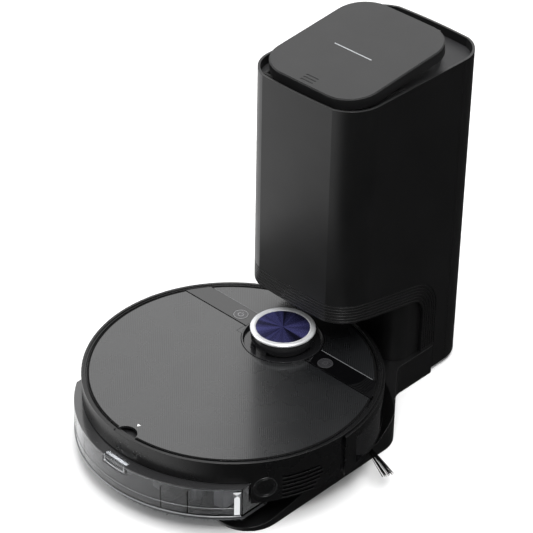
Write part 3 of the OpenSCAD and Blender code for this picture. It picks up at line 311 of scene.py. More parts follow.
LOOKS = {
    "station": moulded("station_plastic", (0.0030, 0.0030, 0.0032), 0.34, edge=0.9 * MM),
    "station_dark": moulded("station_dark_plastic", (0.003, 0.003, 0.0032), 0.38),
    "base": moulded("base_plastic", (0.0030, 0.0030, 0.0032), 0.32, edge=1.2 * MM),
    "lid": moulded("lid_plastic", (0.008, 0.008, 0.0083), 0.34, edge=1.0 * MM),
    "body": moulded("body_plastic", (0.0022, 0.0022, 0.0024), 0.28, edge=0.8 * MM),
    "inside": moulded("inside_plastic", (0.012, 0.012, 0.013), 0.5, grain=0.8 * MM),
    "frame": moulded("frame_plastic", (0.030, 0.031, 0.033), 0.45),
    # the second colour is the painted highlight on the ridge crests
    "cover": ridged("cover_plastic", (0.002, 0.0021, 0.0023), (0.017, 0.018, 0.0195), 2.2 * MM,
                    RIDGE_HEADING, 0.28),
    "strip": glossy("strip_plastic", (0.002, 0.002, 0.0023), 0.05),
    "button": glossy("button_plastic", (0.022, 0.022, 0.024), 0.3),
    "window": glossy("window_plastic", (0.003, 0.003, 0.0034), 0.12),
    "turret": glossy("turret_plastic", (0.010, 0.010, 0.011), 0.2),
    # ring and disc both carry a painted fan highlight, faint on the ring and strong on the disc
    "silver": turned_metal("ring_metal", (0.86, 0.87, 0.89), 0.2, LIDAR, 0.3 * MM, 0.4, 0.05),
    "blue": turned_metal("disc_metal", (0.034, 0.034, 0.105), 0.24, LIDAR, 0.25 * MM, 0.8, 0.85),
    "tank": clear_plastic("tank_plastic", (0.84, 0.85, 0.87), 0.03),
    "tank_inner": moulded("tank_inner_plastic", (0.11, 0.11, 0.115), 0.35),
    "shelf": glossy("tank_cover_plastic", (0.022, 0.022, 0.023), 0.2, coat=1.0, coat_roughness=0.12),
    # pale lines: relief whose pale colour is a painted highlight
    "lip": glossy("pale_lip_painted_highlight", (0.16, 0.165, 0.17), 0.15),
    # near-black matt sheet laid over the deck where the groove lies: painted shade
    "gap": moulded("painted_groove_shade", (0.001, 0.001, 0.001), 0.7, Specular_IOR_Level=0.1),
    # pale beads laid where clear edges catch the light: painted highlight
    "bead": glossy("pale_bead_painted_highlight", (0.62, 0.63, 0.64), 0.2),
    "tab": clear_plastic("tab_plastic", (0.88, 0.89, 0.90), 0.08),
    "bin": clear_plastic("bin_plastic", (0.40, 0.41, 0.43), 0.1),
    "rubber": rubber("black_rubber", (0.012, 0.012, 0.012)),
    "tyre": rubber("tyre_rubber", (0.018, 0.018, 0.018), 0.85),
    "pad": woven("mop_cloth", (0.16, 0.165, 0.175), 1.4 * MM, fuzz=0.6),
    "fleece": woven("bag_fleece", (0.72, 0.71, 0.67), 0.9 * MM, fuzz=0.3),
    "bristle": moulded("bristle_nylon", (0.002, 0.002, 0.002), 0.6, IOR=1.1),
    "card": woven("bag_cardboard", (0.55, 0.50, 0.40), 0.5 * MM, 0.8, 0.1),
    "filter": woven("filter_paper", (0.80, 0.81, 0.80), 0.6 * MM, 0.9, 0.1),
    "motor": brushed_metal("motor_metal", (0.42, 0.43, 0.45), 0.35),
    "steel": brushed_metal("pin_metal", (0.55, 0.55, 0.57), 0.28),
    "screw": brushed_metal("black_screw_metal", (0.05, 0.05, 0.052), 0.35),
    "gold": brushed_metal("contact_metal", (0.83, 0.60, 0.25), 0.22),
    "board": circuit_board("board_laminate"),
    "cells": glossy("cell_sleeve", (0.015, 0.06, 0.20), 0.3),
    "light": glowing("light_line", (0.28, 0.29, 0.30), 0.15),
    # the printed mark glows though it is no lamp: painted light
    "mark": glowing("printed_mark", (0.75, 0.75, 0.75), 0.3),
    "grey_mark": moulded("grey_printed_mark", (0.30, 0.30, 0.31), 0.4),
    "dim_mark": moulded("dim_printed_mark", (0.05, 0.05, 0.053), 0.4),
}

NODE_LOOKS = {
    "station": ("front_shell", "rear_shell"),
    "station_dark": ("column_cover", "base_cover"),
    "base": ("base_plate",),
    "lid": ("station_lid",),
    "body": ("body_shell", "bumper"),
    "shelf": ("tank_cover",),
    "inside": ("bag_chamber", "suction_duct", "inner_deck", "chassis", "lidar_rotor"),
    "frame": ("arm_left", "arm_right", "caster_fork", "mop_plate", "side_brush_hub"),
    "cover": ("top_cover", "front_deck"),
    "strip": ("button_strip",),
    "button": ("power_button", "home_button"),
    "window": ("bumper_window",),
    "turret": ("lidar_bezel", "lidar_cap"),
    "silver": ("lidar_ring",),
    "blue": ("lidar_disc",),
    "tank": ("water_tank",),
    "tab": ("tank_tab",),
    "bin": ("dust_bin",),
    "rubber": ("rubber_feet", "port_seal", "lid_seal", "power_inlet"),
    "tyre": ("wheel_left", "wheel_right", "caster_wheel"),
    "pad": ("mop_pad",),
    "fleece": ("dust_bag",),
    "bristle": ("side_brush_bristles", "main_roller"),
    "card": ("bag_card",),
    "filter": ("exhaust_filter", "bin_filter"),
    "motor": ("fan_motor", "fan_impeller", "blower"),
    "steel": ("lid_hinge_pins", "cover_hinge_pins", "arm_pins"),
    "screw": ("station_screws",),
    "gold": ("contact_left", "contact_right", "charge_pads"),
    "board": ("station_board", "main_board"),
    "cells": ("battery",),
    "light": ("lid_light",),
}


def dress(thing, look):
    thing.data.materials.clear()
    thing.data.materials.append(LOOKS[look])


for look_name, members in NODE_LOOKS.items():
    for member in members:
        dress(NODES[member], look_name)

# ---------- mesh pieces ----------


def piece(name, points, faces, look, body, slot, smooth=True):
    """A new piece from points in the frame, in metres, riding on a body."""
    mesh = bpy.data.meshes.new(name)
    mesh.from_pydata([tuple(p) for p in points], [], faces)
    mesh.validate()
    mesh.update()
    made = bpy.data.objects.new(name, mesh)
    bpy.context.scene.collection.objects.link(made)
    dress(made, look)
    if smooth:
        mesh.shade_smooth()
        mesh.set_sharp_from_angle(angle=math.radians(40))
    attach(made, body)
    return made


def joined(parts):
    """Several (points, faces) as one."""
    points, faces = [], []
    for more_points, more_faces in parts:
        start = len(points)
        points.extend(more_points)
        faces.extend([tuple(i + start for i in f) for f in more_faces])
    return points, faces


def tube(path, radii, sides):
    """Round tube along a path, closed at both ends."""
    points, faces = [], []
    path = [Vector(p) for p in path]
    for i, p in enumerate(path):
        along = (path[min(i + 1, len(path) - 1)] - path[max(i - 1, 0)]).normalized()
        side = along.cross(Vector((0.31, 0.17, 0.93))).normalized()
        up = side.cross(along)
        for k in range(sides):
            a = math.tau * k / sides
            points.append(p + radii[i] * (math.cos(a) * side + math.sin(a) * up))
    for i in range(len(path) - 1):
        for k in range(sides):
            n = (k + 1) % sides
            faces.append((i * sides + k, i * sides + n, (i + 1) * sides + n, (i + 1) * sides + k))
    faces.append(tuple(reversed(range(sides))))
    faces.append(tuple(range((len(path) - 1) * sides, len(path) * sides)))
    return points, faces


def slab(outline, low, high):
    """Straight prism over a flat outline, its edge at high broken by a chamfer, a quarter of its height."""
    n = len(outline)
    middle = sum((Vector((*p, 0)) for p in outline), Vector()) / n
    chamfer = 0.25
    points = [Vector((*p, low)) for p in outline]
    points += [Vector((*p, low + (high - low) * (1 - chamfer))) for p in outline]
    points += [Vector((*(Vector(p) + (middle.xy - Vector(p)).normalized() * (high - low) * chamfer), high))
               for p in outline]
    faces = [tuple(reversed(range(n)))]
    for ring in (0, 1):
        for k in range(n):
            m = (k + 1) % n
            faces.append((ring * n + k, ring * n + m, (ring + 1) * n + m, (ring + 1) * n + k))
    faces.append(tuple(range(2 * n, 3 * n)))
    return points, faces


# ---------- soft pieces ----------


def bristle_tufts():
    """Three tufts, each of two bundles of thin bristles that fan out and droop a little."""
    rng = np.random.default_rng(7)
    low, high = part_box("side_brush_hub")
    hub = (low + high) / 2
    root_r, root_z = 22.2 * MM, low.z + 2.4 * MM
    reach = (84 * MM, 40 * MM, 64 * MM)
    turn = math.radians(-21)
    bristles, bristle_r, bends = 26, 0.3 * MM, 6
    parts = []
    for tuft in range(3):
        for bundle in (-1, 1):
            for _ in range(bristles):
                a = turn + tuft * math.tau / 3 + math.radians(bundle * 2.6 + rng.normal(0, 0.9))
                end_r = reach[tuft] * (1 - 0.07 * rng.random())
                start_side, start_up = rng.normal(0, 0.6 * MM), rng.normal(0, 0.45 * MM)
                droop = 2.0 * MM + rng.normal(0, 0.5 * MM)
                path = []
                for i in range(bends + 1):
                    t = i / bends
                    r = root_r + (end_r - root_r) * t
                    side = start_side * (1 + t)
                    path.append((hub.x + r * math.cos(a) - side * math.sin(a),
                                 hub.y + r * math.sin(a) + side * math.cos(a),
                                 root_z + start_up * (1 - 0.4 * t) - droop * t * t))
                parts.append(tube(path, [bristle_r * (1 - 0.3 * i / bends) for i in range(bends + 1)], 5))
    made = piece("side_brush_tufts", *joined(parts), "bristle", "side_brush", "bristle_black")
    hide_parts("side_brush_bristles")


def pad_outline(low, high, inset, steps=72):
    """Outline of the mop pad: a wide arc at the back, straight sides and front, its corners rounded."""
    r = TANK_CENTRE_Y - low.y - inset
    half = high.x - inset
    edge_a = math.acos(half / r)
    points = [(r * math.cos(a), TANK_CENTRE_Y + r * math.sin(a))
              for a in np.linspace(math.pi + edge_a, math.tau - edge_a, steps)]
    corner = 6 * MM
    front = high.y - inset
    points += [(half - corner + corner * math.cos(a), front - corner + corner * math.sin(a))
               for a in np.linspace(0, math.pi / 2, 6)]
    points += [(-half + corner + corner * math.cos(a), front - corner + corner * math.sin(a))
               for a in np.linspace(math.pi / 2, math.pi, 6)]
    return points


def mop_cloth():
    """Microfibre pad: a wavy face, a bound edge and short fibres that stand out of it."""
    rng = np.random.default_rng(11)
    low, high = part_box("mop_pad")
    thick = high.z - low.z
    # inset from the edge in mm, and height above the face as a share of the thickness
    rings = [(0.0, 0.5), (0.35, 0.16), (1.3, 0.0), (4, 0.02), (8, 0.0), (14, 0.02), (22, 0.0), (34, 0.0)]
    points, faces = [], []

    def loop(inset, height):
        first = len(points)
        outline = pad_outline(low, high, inset * MM + 0.4 * MM)
        points.extend((x, y, height(k)) for k, (x, y) in enumerate(outline))
        return list(range(first, len(points)))

    def wavy(inset, rise):
        painted_crest_highlight = 0.10 * thick if inset > 1 else 0
        return lambda k: low.z + thick * rise + abs(painted_crest_highlight * math.sin(k * 2.6))

    bottom = [loop(inset, wavy(inset, rise)) for inset, rise in rings]
    top = [loop(inset, lambda _, rise=rise: high.z - thick * rise) for inset, rise in rings[1:]]
    for first, second in zip(bottom, bottom[1:]):
        for k in range(len(first)):
            n = (k + 1) % len(first)
            faces.append((first[k], second[k], second[n], first[n]))
    chain = [bottom[0]] + top
    for first, second in zip(chain, chain[1:]):
        for k in range(len(first)):
            n = (k + 1) % len(first)
            faces.append((first[n], second[n], second[k], first[k]))
    faces.append(tuple(bottom[-1]))
    faces.append(tuple(reversed(top[-1])))
    parts = [(points, faces)]
    for x, y in pad_outline(low, high, 0.6 * MM, 260):
        out = Vector((x, y - TANK_CENTRE_Y, 0)).normalized()
        length = (1.6 + 1.3 * rng.random()) * MM
        z = low.z + thick * (0.25 + 0.4 * rng.random())
        bend = Vector((rng.normal(0, 0.5), rng.normal(0, 0.5), -0.6 * rng.random())) * MM
        root = Vector((x, y, z))
        parts.append(tube([root, root + out * length * 0.5, root + out * length + bend],
                          [0.42 * MM, 0.36 * MM, 0.16 * MM], 5))
    made = piece("mop_cloth", *joined(parts), "pad", "tank", "mop_fabric")
    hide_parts("mop_pad")


def inflated(made, cap, frames=20):
    """Blows the made shape out as cloth, for that many frames; no point moves further than cap."""
    bpy.context.view_layer.objects.active = made
    remesh = made.modifiers.new("remesh", "REMESH")
    remesh.mode, remesh.voxel_size = "VOXEL", 5 * MM
    bpy.ops.object.modifier_apply(modifier=remesh.name)
    before = np.array([v.co for v in made.data.vertices])
    cloth = made.modifiers.new("cloth", "CLOTH")
    cloth.settings.use_pressure = True
    cloth.settings.uniform_pressure_force = 4
    cloth.settings.effector_weights.gravity = 0
    scene = bpy.context.scene
    for number in range(1, frames + 1):
        scene.frame_set(number)
    bpy.ops.object.modifier_apply(modifier=cloth.name)
    scene.frame_set(1)
    after = np.array([v.co for v in made.data.vertices])
    move = after - before
    length = np.linalg.norm(move, axis=1, keepdims=True)
    after = before + move * np.minimum(1, cap / np.maximum(length, 1e-9))
    made.data.vertices.foreach_set("co", after.astype(np.float32).ravel())
    made.data.shade_smooth()
    made.modifiers.new("finer", "SUBSURF").levels = 1
    bpy.ops.object.modifier_apply(modifier="finer")


def fleece_bag():
    """Dust bag of pressed fleece: a rounded box with creases, blown out by the cloth simulation."""
    low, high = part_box("dust_bag")
    middle, half = (low + high) / 2, (high - low) / 2
    points, faces = [], []
    columns, rows = 28, 14

    def squared(value):
        return math.copysign(abs(value) ** 0.42, value)

    for j in range(rows + 1):
        v = math.pi * j / rows
        for i in range(columns):
            u = math.tau * i / columns
            x = squared(math.cos(u)) * squared(math.sin(v))
            y = squared(math.sin(u)) * squared(math.sin(v))
            z = squared(math.cos(v))
            crease = 1 - 0.05 * math.sin(5 * u) * math.sin(3 * v)
            points.append(middle + Vector((x * half.x * 0.93 * crease, y * half.y * 0.9 * crease,
                                           z * half.z * 0.94)))
    for j in range(rows):
        for i in range(columns):
            n = (i + 1) % columns
            faces.append((j * columns + i, (j + 1) * columns + i, (j + 1) * columns + n, j * columns + n))
    faces.append(tuple(range(columns)))
    faces.append(tuple(reversed(range(rows * columns, (rows + 1) * columns))))
    made = piece("dust_bag_fleece", points, faces, "fleece", "station", "bag_fleece")
    inflated(made, 4 * MM)
    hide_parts("dust_bag")


def roller_brush():
    """Main roller: rubber fins that sweep towards the middle, with a row of bristles between each pair."""
    rng = np.random.default_rng(3)
    low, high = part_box("main_roller")
    middle = (low + high) / 2
    half = 79.5 * MM
    core_r, fin_r = 11 * MM, 17.6 * MM
    twist = math.radians(38)
    cuts = 24
    stations = [half * (-1 + 2 * i / cuts) for i in range(cuts + 1)]

    def at(x, r, a):
        return (middle.x + x, middle.y + r * math.cos(a), middle.z + r * math.sin(a))

    parts = []
    radii = [3, 3, 10, core_r / MM, core_r / MM, 10, 3, 3]  # mm: axle, core with broken edges, axle
    places = [low.x - middle.x, -half - 0.5 * MM, -half, -half + MM, half - MM, half, half + 0.5 * MM,
              high.x - middle.x]
    parts.append(tube([at(x, 0, 0) for x in places], [r * MM for r in radii], 40))
    for fin in range(6):
        base = fin * math.tau / 6
        points, faces = [], []
        for x in stations:
            a = base + twist * (1 - abs(x) / half)
            for r, painted_highlight_spread in ((core_r - MM, 1.3), (fin_r, 0.7), (fin_r, -0.7), (core_r - MM, -1.3)):
                points.append(at(x, r, a + painted_highlight_spread * MM / r))
        for i in range(len(stations) - 1):
            for k in range(4):
                n = (k + 1) % 4
                faces.append((i * 4 + k, i * 4 + n, i * 4 + 4 + n, i * 4 + 4 + k))
        faces.append((3, 2, 1, 0))
        last = 4 * (len(stations) - 1)
        faces.append((last, last + 1, last + 2, last + 3))
        parts.append((points, faces))
    made = piece("roller_fins", *joined(parts), "rubber", "roller", "rubber_black")
    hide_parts("main_roller")
    tufts = []
    for row in range(3):
        base = (row * 2 + 0.5) * math.tau / 6
        for x in np.linspace(-half + 3 * MM, half - 3 * MM, 46):
            a = base + twist * (1 - abs(x) / half)
            for _ in range(3):
                lean = rng.normal(0, 0.05)
                tip = at(x + rng.normal(0, 0.5) * MM, fin_r, a + lean)
                tufts.append(tube([at(x, core_r - 0.5 * MM, a), tip], [0.22 * MM, 0.14 * MM], 4))
    piece("roller_bristles", *joined(tufts), "bristle", "roller", "bristle_black")


bristle_tufts()
mop_cloth()
fleece_bag()
roller_brush()

# ---------- marks and small fittings ----------


def flat_ring(centre, r_in, r_out, low, high, start=0.0, sweep=math.tau, steps=40):
    """Flat ring, or part of one."""
    points, faces = [], []
    closed = sweep >= math.tau - 1e-6
    count = steps if closed else steps + 1
    for k in range(count):
        a = start + sweep * k / steps
        for r, z in ((r_in, low), (r_out, low), (r_out, high), (r_in, high)):
            points.append((centre[0] + r * math.cos(a), centre[1] + r * math.sin(a), z))
    for k in range(steps):
        n = (k + 1) % count
        for i in range(4):
            j = (i + 1) % 4
            faces.append((k * 4 + i, n * 4 + i, n * 4 + j, k * 4 + j))
    if not closed:
        faces.append((0, 1, 2, 3))
        faces.append(tuple(reversed(range(4 * (count - 1), 4 * count))))
    return points, faces


def bar(centre, size, low, high, turn=0.0):
    """Upright block on a rectangle that is turned about its centre."""
    half_x, half_y = size[0] / 2, size[1] / 2
    c, s = math.cos(turn), math.sin(turn)
    corners = [(-half_x, -half_y), (half_x, -half_y), (half_x, half_y), (-half_x, half_y)]
    outline = [(centre[0] + x * c - y * s, centre[1] + x * s + y * c) for x, y in corners]
    return slab(outline, low, high)


def mark_heights(surface):
    """Bottom and top of a printed mark that is sunk a little into a surface at that height."""
    bottom = surface - 0.02 * MM
    return bottom, bottom + 0.12 * MM


def button_marks():
    """Bright rim and power sign on the left button, a plain house sign on the right one."""
    low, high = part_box("power_button")
    centre, z = (low + high) / 2, mark_heights(high.z)
    rim_r = (high.x - low.x) / 2
    sign = [flat_ring(centre, rim_r - 0.9 * MM, rim_r - 0.2 * MM, *z, steps=64),
            flat_ring(centre, 3.0 * MM, 3.8 * MM, *z, math.radians(125), math.radians(290)),
            bar((centre.x, centre.y + 3.0 * MM), (0.8 * MM, 3.4 * MM), *z)]
    piece("power_sign", *joined(sign), "grey_mark", "power_key", "button_gloss")
    low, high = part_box("home_button")
    centre, z = (low + high) / 2, mark_heights(high.z)
    half, wall, pitch = 2.6 * MM, 0.7 * MM, math.radians(40)
    sign = [bar((centre.x, centre.y - half), (2 * half, wall), *z),
            bar((centre.x - half, centre.y - 0.6 * MM), (wall, 2 * half - 1.2 * MM), *z),
            bar((centre.x + half, centre.y - 0.6 * MM), (wall, 2 * half - 1.2 * MM), *z),
            bar((centre.x - half / 2, centre.y + half), (half * 1.5, wall), *z, pitch),
            bar((centre.x + half / 2, centre.y + half), (half * 1.5, wall), *z, -pitch),
            flat_ring(centre, rim_r - 0.7 * MM, rim_r - 0.25 * MM, *z, steps=64)]
    piece("home_sign", *joined(sign), "dim_mark", "home_key", "button_gloss")


def cover_mark():
    """Small triangle that points at the finger scoop; it is given a faint glow, painted light, though it is no
    lamp.
    """
    low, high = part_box("top_cover")
    y = low.y + 18 * MM
    outline = [(0, y - 2 * MM), (2.4 * MM, y + 1.6 * MM), (-2.4 * MM, y + 1.6 * MM)]
    piece("cover_mark", *slab(outline, *mark_heights(high.z)), "mark", "cover", "cover_smoke")


def screw(place, r, facing):
    """Countersunk screw with a cross recess; facing is -1 when it is seen from below."""
    sides = 32
    points, faces = [], []
    profile = [(r, 0.0), (r, 0.25), (r * 0.86, 0.5), (r * 0.42, 0.5), (r * 0.40, 0.1)]  # radius, rise in mm
    for radius, rise in profile:
        for k in range(sides):
            a = math.tau * k / sides
            arm = 1 if radius > r * 0.5 else 0.45 + 0.55 * abs(math.cos(2 * a)) ** 3
            points.append((place[0] + radius * arm * math.cos(a), place[1] + radius * arm * math.sin(a),
                           place[2] + facing * rise * MM))
    for j in range(len(profile) - 1):
        for k in range(sides):
            n = (k + 1) % sides
            quad = (j * sides + k, j * sides + n, (j + 1) * sides + n, (j + 1) * sides + k)
            faces.append(quad if facing > 0 else tuple(reversed(quad)))
    start = (len(profile) - 1) * sides
    recess, back = tuple(range(start, start + sides)), tuple(reversed(range(sides)))
    faces += [recess, back] if facing > 0 else [recess[::-1], back[::-1]]
    return points, faces


def tank_fittings():
    """Blocks, posts and hose that show dark through the clear tank, and a pale bead round its tab, a painted
    highlight for the light on the tab's clear edge.
    """
    low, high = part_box("water_tank")
    floor_z, roof_z = low.z + 2.2 * MM, high.z - 3 * MM
    # x, y, width and depth in mm, and height as a share of the room in the tank
    blocks = ((78, -132, 9, 16, 0.6), (107, -118, 15, 22, 0.75), (-76, -132, 8, 14, 0.45),
              (36, -150, 14, 10, 0.35), (-110, -116, 12, 18, 0.6))
    dark = []
    for x, y, size_x, size_y, rise in blocks:
        top = floor_z + (roof_z - floor_z) * rise
        dark.append(bar((x * MM, y * MM), (size_x * MM, size_y * MM), floor_z, top))
        dark.append(flat_ring((x * MM, y * MM), 0.2 * MM, 3 * MM, top - 0.5 * MM, top + 5 * MM, steps=24))
    hose = [(x * MM, (-112 - 12 * math.sin(math.pi * (x + 40) / 140)) * MM, floor_z + 8 * MM)
            for x in range(-40, 101, 7)]
    dark.append(tube(hose, [2.2 * MM] * len(hose), 14))
    piece("tank_fittings", *joined(dark), "tank_inner", "tank", "frame_dark")
    # painted highlight: a pale bead laid round the clear tab's edge for the light it catches
    low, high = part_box("tank_tab")
    out_y = low.y + 0.6 * MM
    half, drop, corner = high.x - 1.2 * MM, low.z + 1.4 * MM, 2.6 * MM
    face_r = 170 * MM
    sag = (1 - math.cos(math.asin(half / face_r))) * face_r
    route = [(-half, out_y + sag, high.z - 1 * MM), (-half, out_y + sag, drop + corner)]
    route += [(-half + corner * (1 - math.cos(a)), out_y + sag, drop + corner * (1 - math.sin(a)))
              for a in np.linspace(0.3, math.pi / 2, 5)]
    route += [(x, out_y + sag * (x / half) ** 2, drop) for x in np.linspace(-half * 0.7, half * 0.7, 7)]
    route += [(-x, y, z) for x, y, z in reversed(route[:7])]
    piece("tab_edge_highlight", *tube(route, [0.55 * MM] * len(route), 10), "bead", "tank_key", "tab_clear")


def underside_fittings():
    """Screws and cliff sensor windows under the robot's body."""
    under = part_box("chassis")[0].z + 0.15 * MM
    screws = [screw((side * x * MM, y * MM, under), 3.2 * MM, -1)
              for x, y in ((55, 112), (100, -40), (95, 60), (40, -66)) for side in (-1, 1)]
    piece("underside_screws", *joined(screws), "screw", "robot", "pin_steel")
    eyes, eye_r = [], 143 * MM
    for angle in (38, 78, 102, 142):
        a = math.radians(angle)
        centre = (eye_r * math.cos(a), eye_r * math.sin(a))
        outline = []
        for k in range(32):
            t = math.tau * k / 32
            along, across = 8 * MM * math.cos(t), 4.2 * MM * math.sin(t)
            outline.append((centre[0] - along * math.sin(a) + across * math.cos(a),
                            centre[1] + along * math.cos(a) + across * math.sin(a)))
        eyes.append(slab(outline, under + 0.2 * MM, under - 0.5 * MM))
    piece("cliff_windows", *joined(eyes), "window", "robot", "window_gloss")


def relief_plates():
    """Two small fixed plates beside the turret, where the top cover is cut back for its hinge."""
    rear_y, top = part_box("top_cover")[1].yz
    low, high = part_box("lidar_bezel")
    gap = 0.3 * MM
    well_r, well_y = (high.x - low.x) / 2 + gap, (low.y + high.y) / 2
    front_y = centre_of("cover_hinge_pins").y - 7 * MM + gap
    turns = [math.asin((y - well_y) / well_r) for y in (front_y, rear_y)]
    plates = []
    for side in (-1, 1):
        outline = [(side * well_r * math.cos(a), well_y + well_r * math.sin(a))
                   for a in np.linspace(*turns, 14)]
        edge = side * (well_r + 1 * MM - 2 * gap)
        outline += [(edge, rear_y), (edge, front_y)]
        plates.append(slab(outline[::side], top - 1.2 * MM, top))
    piece("relief_plates", *joined(plates), "cover", "robot", "cover_smoke")


def deck_groove_shade():
    """Flat black rings laid round the deck as painted shade where the groove lies: two arcs on the cover,
    either side of its scoop, and one on the body.
    """
    low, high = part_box("top_cover")
    r, width = (high.x - low.x) / 2 - 0.1 * MM, 2.1 * MM
    rise = (high.z - 0.05 * MM, high.z + 0.06 * MM)
    back, scoop = math.asin(high.y / r), 14.2 * MM / r
    arcs = [(math.pi - back, math.pi / 2 + back - scoop), (1.5 * math.pi + scoop, math.pi / 2 + back - scoop)]
    made = [flat_ring((0, 0), r - width, r, *rise, start, sweep, 90) for start, sweep in arcs]
    piece("cover_groove_shade", *joined(made), "gap", "cover", "cover_smoke")
    back = math.asin(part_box("front_deck")[0].y / r)
    made = flat_ring((0, 0), r - width, r, *rise, back, math.pi - 2 * back, 120)
    piece("deck_groove_shade", *made, "gap", "robot", "cover_smoke")


def strip_edge_highlight():
    """Fine polished beads along the rear edge of the strip, either side of the turret; their pale colour is a
    painted highlight for the light on the strip's edge chamfer.
    """
    low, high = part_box("front_deck")
    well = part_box("lidar_bezel")
    start = math.sqrt(well[1].x ** 2 - (low.y - (well[0].y + well[1].y) / 2) ** 2) + 2 * MM
    end = (high.x - low.x) / 2 - 5 * MM
    beads = [tube([(side * x, low.y - 0.2 * MM, high.z - 0.1 * MM) for x in np.linspace(start, end, 3)],
                  [0.35 * MM] * 3, 10) for side in (-1, 1)]
    piece("strip_edge_highlight", *joined(beads), "lip", "robot", "strip_gloss")


def tank_lip_highlights():
    """Moulded lips along the foot, middle and top of the tank's wall, painted pale as a painted highlight, and
    a bright post at each end of it, a painted highlight where the clear end walls catch the light.
    """
    low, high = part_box("water_tank")
    tank_r = TANK_CENTRE_Y - low.y
    turn = math.acos((high.x - 1.2 * MM) / tank_r)
    parts = []
    for z, r, thick in ((low.z + 1.0 * MM, tank_r, 1.0 * MM), (low.z + 13 * MM, tank_r, 0.4 * MM),
                        (high.z - 0.5 * MM, tank_r - 0.6 * MM, 0.6 * MM)):
        route = [(r * math.cos(a), TANK_CENTRE_Y + r * math.sin(a), z)
                 for a in np.linspace(math.pi + turn, math.tau - turn, 90)]
        parts.append(tube(route, [thick] * len(route), 10))
    piece("tank_lip_highlights", *joined(parts), "lip", "tank", "tank_clear")
    # painted highlight: bright posts where the tank's clear end walls catch the light
    post_x = high.x - 4 * MM
    post_y = TANK_CENTRE_Y - math.sqrt(tank_r ** 2 - post_x ** 2)
    posts = [bar((side * post_x, post_y), (6.5 * MM, 1.2 * MM), low.z + 3.5 * MM, high.z - 4 * MM,
                 side * (math.pi / 2 - turn)) for side in (-1, 1)]
    piece("tank_end_highlights", *joined(posts), "bead", "tank", "tab_clear")


def side_cap():
    """Two raised rims of the round cap in the rear wall of the body."""
    cap_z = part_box("body_shell")[1].z - 36.5 * MM
    cap_r, turn = 13.4 * MM, math.radians(-33)
    rims = []
    for r, thick in ((cap_r, 0.45 * MM), (cap_r - 2.6 * MM, 0.25 * MM)):
        route = []
        for a in np.linspace(0, math.tau, 61):
            along = turn + r * math.cos(a) / BODY_R
            route.append((BODY_R * math.cos(along), BODY_R * math.sin(along), cap_z + r * math.sin(a)))
        rims.append(tube(route, [thick] * len(route), 8))
    piece("side_cap_rim", *joined(rims), "turret", "robot", "shell_black")


button_marks()
cover_mark()
tank_fittings()
underside_fittings()
relief_plates()
deck_groove_shade()
strip_edge_highlight()
tank_lip_highlights()
side_cap()

# ---------- camera, floor and light ----------


def camera():
    """The photograph's camera, as solved from it; angles in degrees, the lens in mm."""
    place = (1.5166, -1.5491, 1.7325)
    heading, down, roll = 43.39, 34.49, 1.054
    made = bpy.data.objects.new("camera", bpy.data.cameras.new("camera"))
    bpy.context.scene.collection.objects.link(made)
    made.data.sensor_width = 36
    made.data.lens = 157.6
    made.data.clip_start = 0.1
    made.data.clip_end = 300
    turn = Matrix.Translation(place)
    for degrees, axis in ((heading, "Z"), (90 - down, "X"), (roll, "Z")):
        turn = turn @ Matrix.Rotation(math.radians(degrees), 4, axis)
    made.matrix_world = turn
    bpy.context.scene.camera = made


def floor():
    """White floor just below the feet, wide enough that its edge stays out of low views."""
    size, drop = 80.0, 0.2 * MM
    mesh = bpy.data.meshes.new("floor")
    corners = [(-size, -size, -drop), (size, -size, -drop), (size, size, -drop), (-size, size, -drop)]
    mesh.from_pydata(corners, [], [(0, 1, 2, 3)])
    made = bpy.data.objects.new("floor", mesh)
    bpy.context.scene.collection.objects.link(made)
    look = look_of("floor_paint", (0.9, 0.9, 0.9), 0.9)
    wire(look, mix_colours(look, noise(look, 0.8, 2), (0.895, 0.895, 0.895), (0.905, 0.905, 0.905)),
         shader_of(look).inputs["Base Color"])
    mesh.materials.append(look)
    made.visible_glossy = False


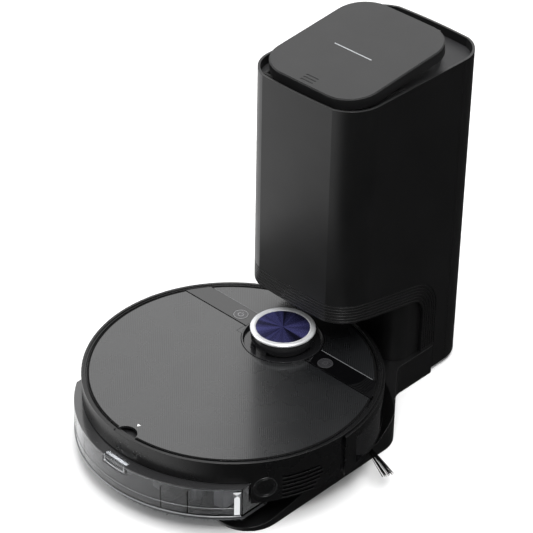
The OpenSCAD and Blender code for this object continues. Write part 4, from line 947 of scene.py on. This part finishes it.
def softbox(name, place, aim, size, power):
    """Rectangular lamp of size metres and power watts, turned towards aim and hidden from the camera."""
    light = bpy.data.lights.new(name, "AREA")
    light.shape = "RECTANGLE"
    light.size, light.size_y = size
    light.energy = power
    made = bpy.data.objects.new(name, light)
    bpy.context.scene.collection.objects.link(made)
    made.location = place
    made.rotation_euler = (Vector(aim) - Vector(place)).to_track_quat("-Z", "Y").to_euler()
    made.visible_camera = False


def studio_light(tree):
    """Even light from above; below the horizon, a grey room that is brighter on the left."""
    def add(kind, *values):
        made = tree.nodes.new("ShaderNode" + kind)
        for socket, value in zip(made.inputs, values):
            socket.default_value = value
        return made

    heading = tree.nodes.new("ShaderNodeTexCoord")
    split = add("SeparateXYZ")
    tree.links.new(heading.outputs["Generated"], split.inputs[0])
    above = add("MapRange", 0, -0.03, 0.03, 0, 1)
    tree.links.new(split.outputs["Z"], above.inputs[0])
    slant = tree.nodes.new("ShaderNodeVectorMath")
    slant.operation = "DOT_PRODUCT"
    slant.inputs[1].default_value = (1, 0.6, 0)
    tree.links.new(heading.outputs["Generated"], slant.inputs[0])
    below = add("MapRange", 0, -0.62, 0.02, 1.05, 0.04)
    tree.links.new(slant.outputs["Value"], below.inputs[0])
    strength = tree.nodes.new("ShaderNodeMix")
    tree.links.new(above.outputs["Result"], strength.inputs[0])
    tree.links.new(below.outputs["Result"], strength.inputs[2])
    strength.inputs[3].default_value = 0.6
    tree.links.new(strength.outputs[0], tree.nodes["Background"].inputs["Strength"])
    tree.nodes["Background"].inputs["Color"].default_value = (1, 1, 1, 1)


def studio():
    world = bpy.data.worlds.new("studio")
    bpy.context.scene.world = world
    world.use_nodes = True
    studio_light(world.node_tree)
    softbox("overhead", (0.2, 0.2, 2.6), (0, 0.1, 0), (2.6, 2.6), 75)
    softbox("back_left", (-1.5, 1.6, 1.6), (0, 0, 0.1), (1.6, 1.3), 5.5)
    softbox("front_left", (-2.0, -1.2, 1.5), (0, 0.1, 0.2), (1.2, 1.6), 15)
    softbox("rim", (1.2, -1.1, 2.5), (0, 0.1, 0.1), (0.7, 0.7), 32)
    bpy.context.scene.view_settings.view_transform = "Standard"


camera()
floor()
studio()
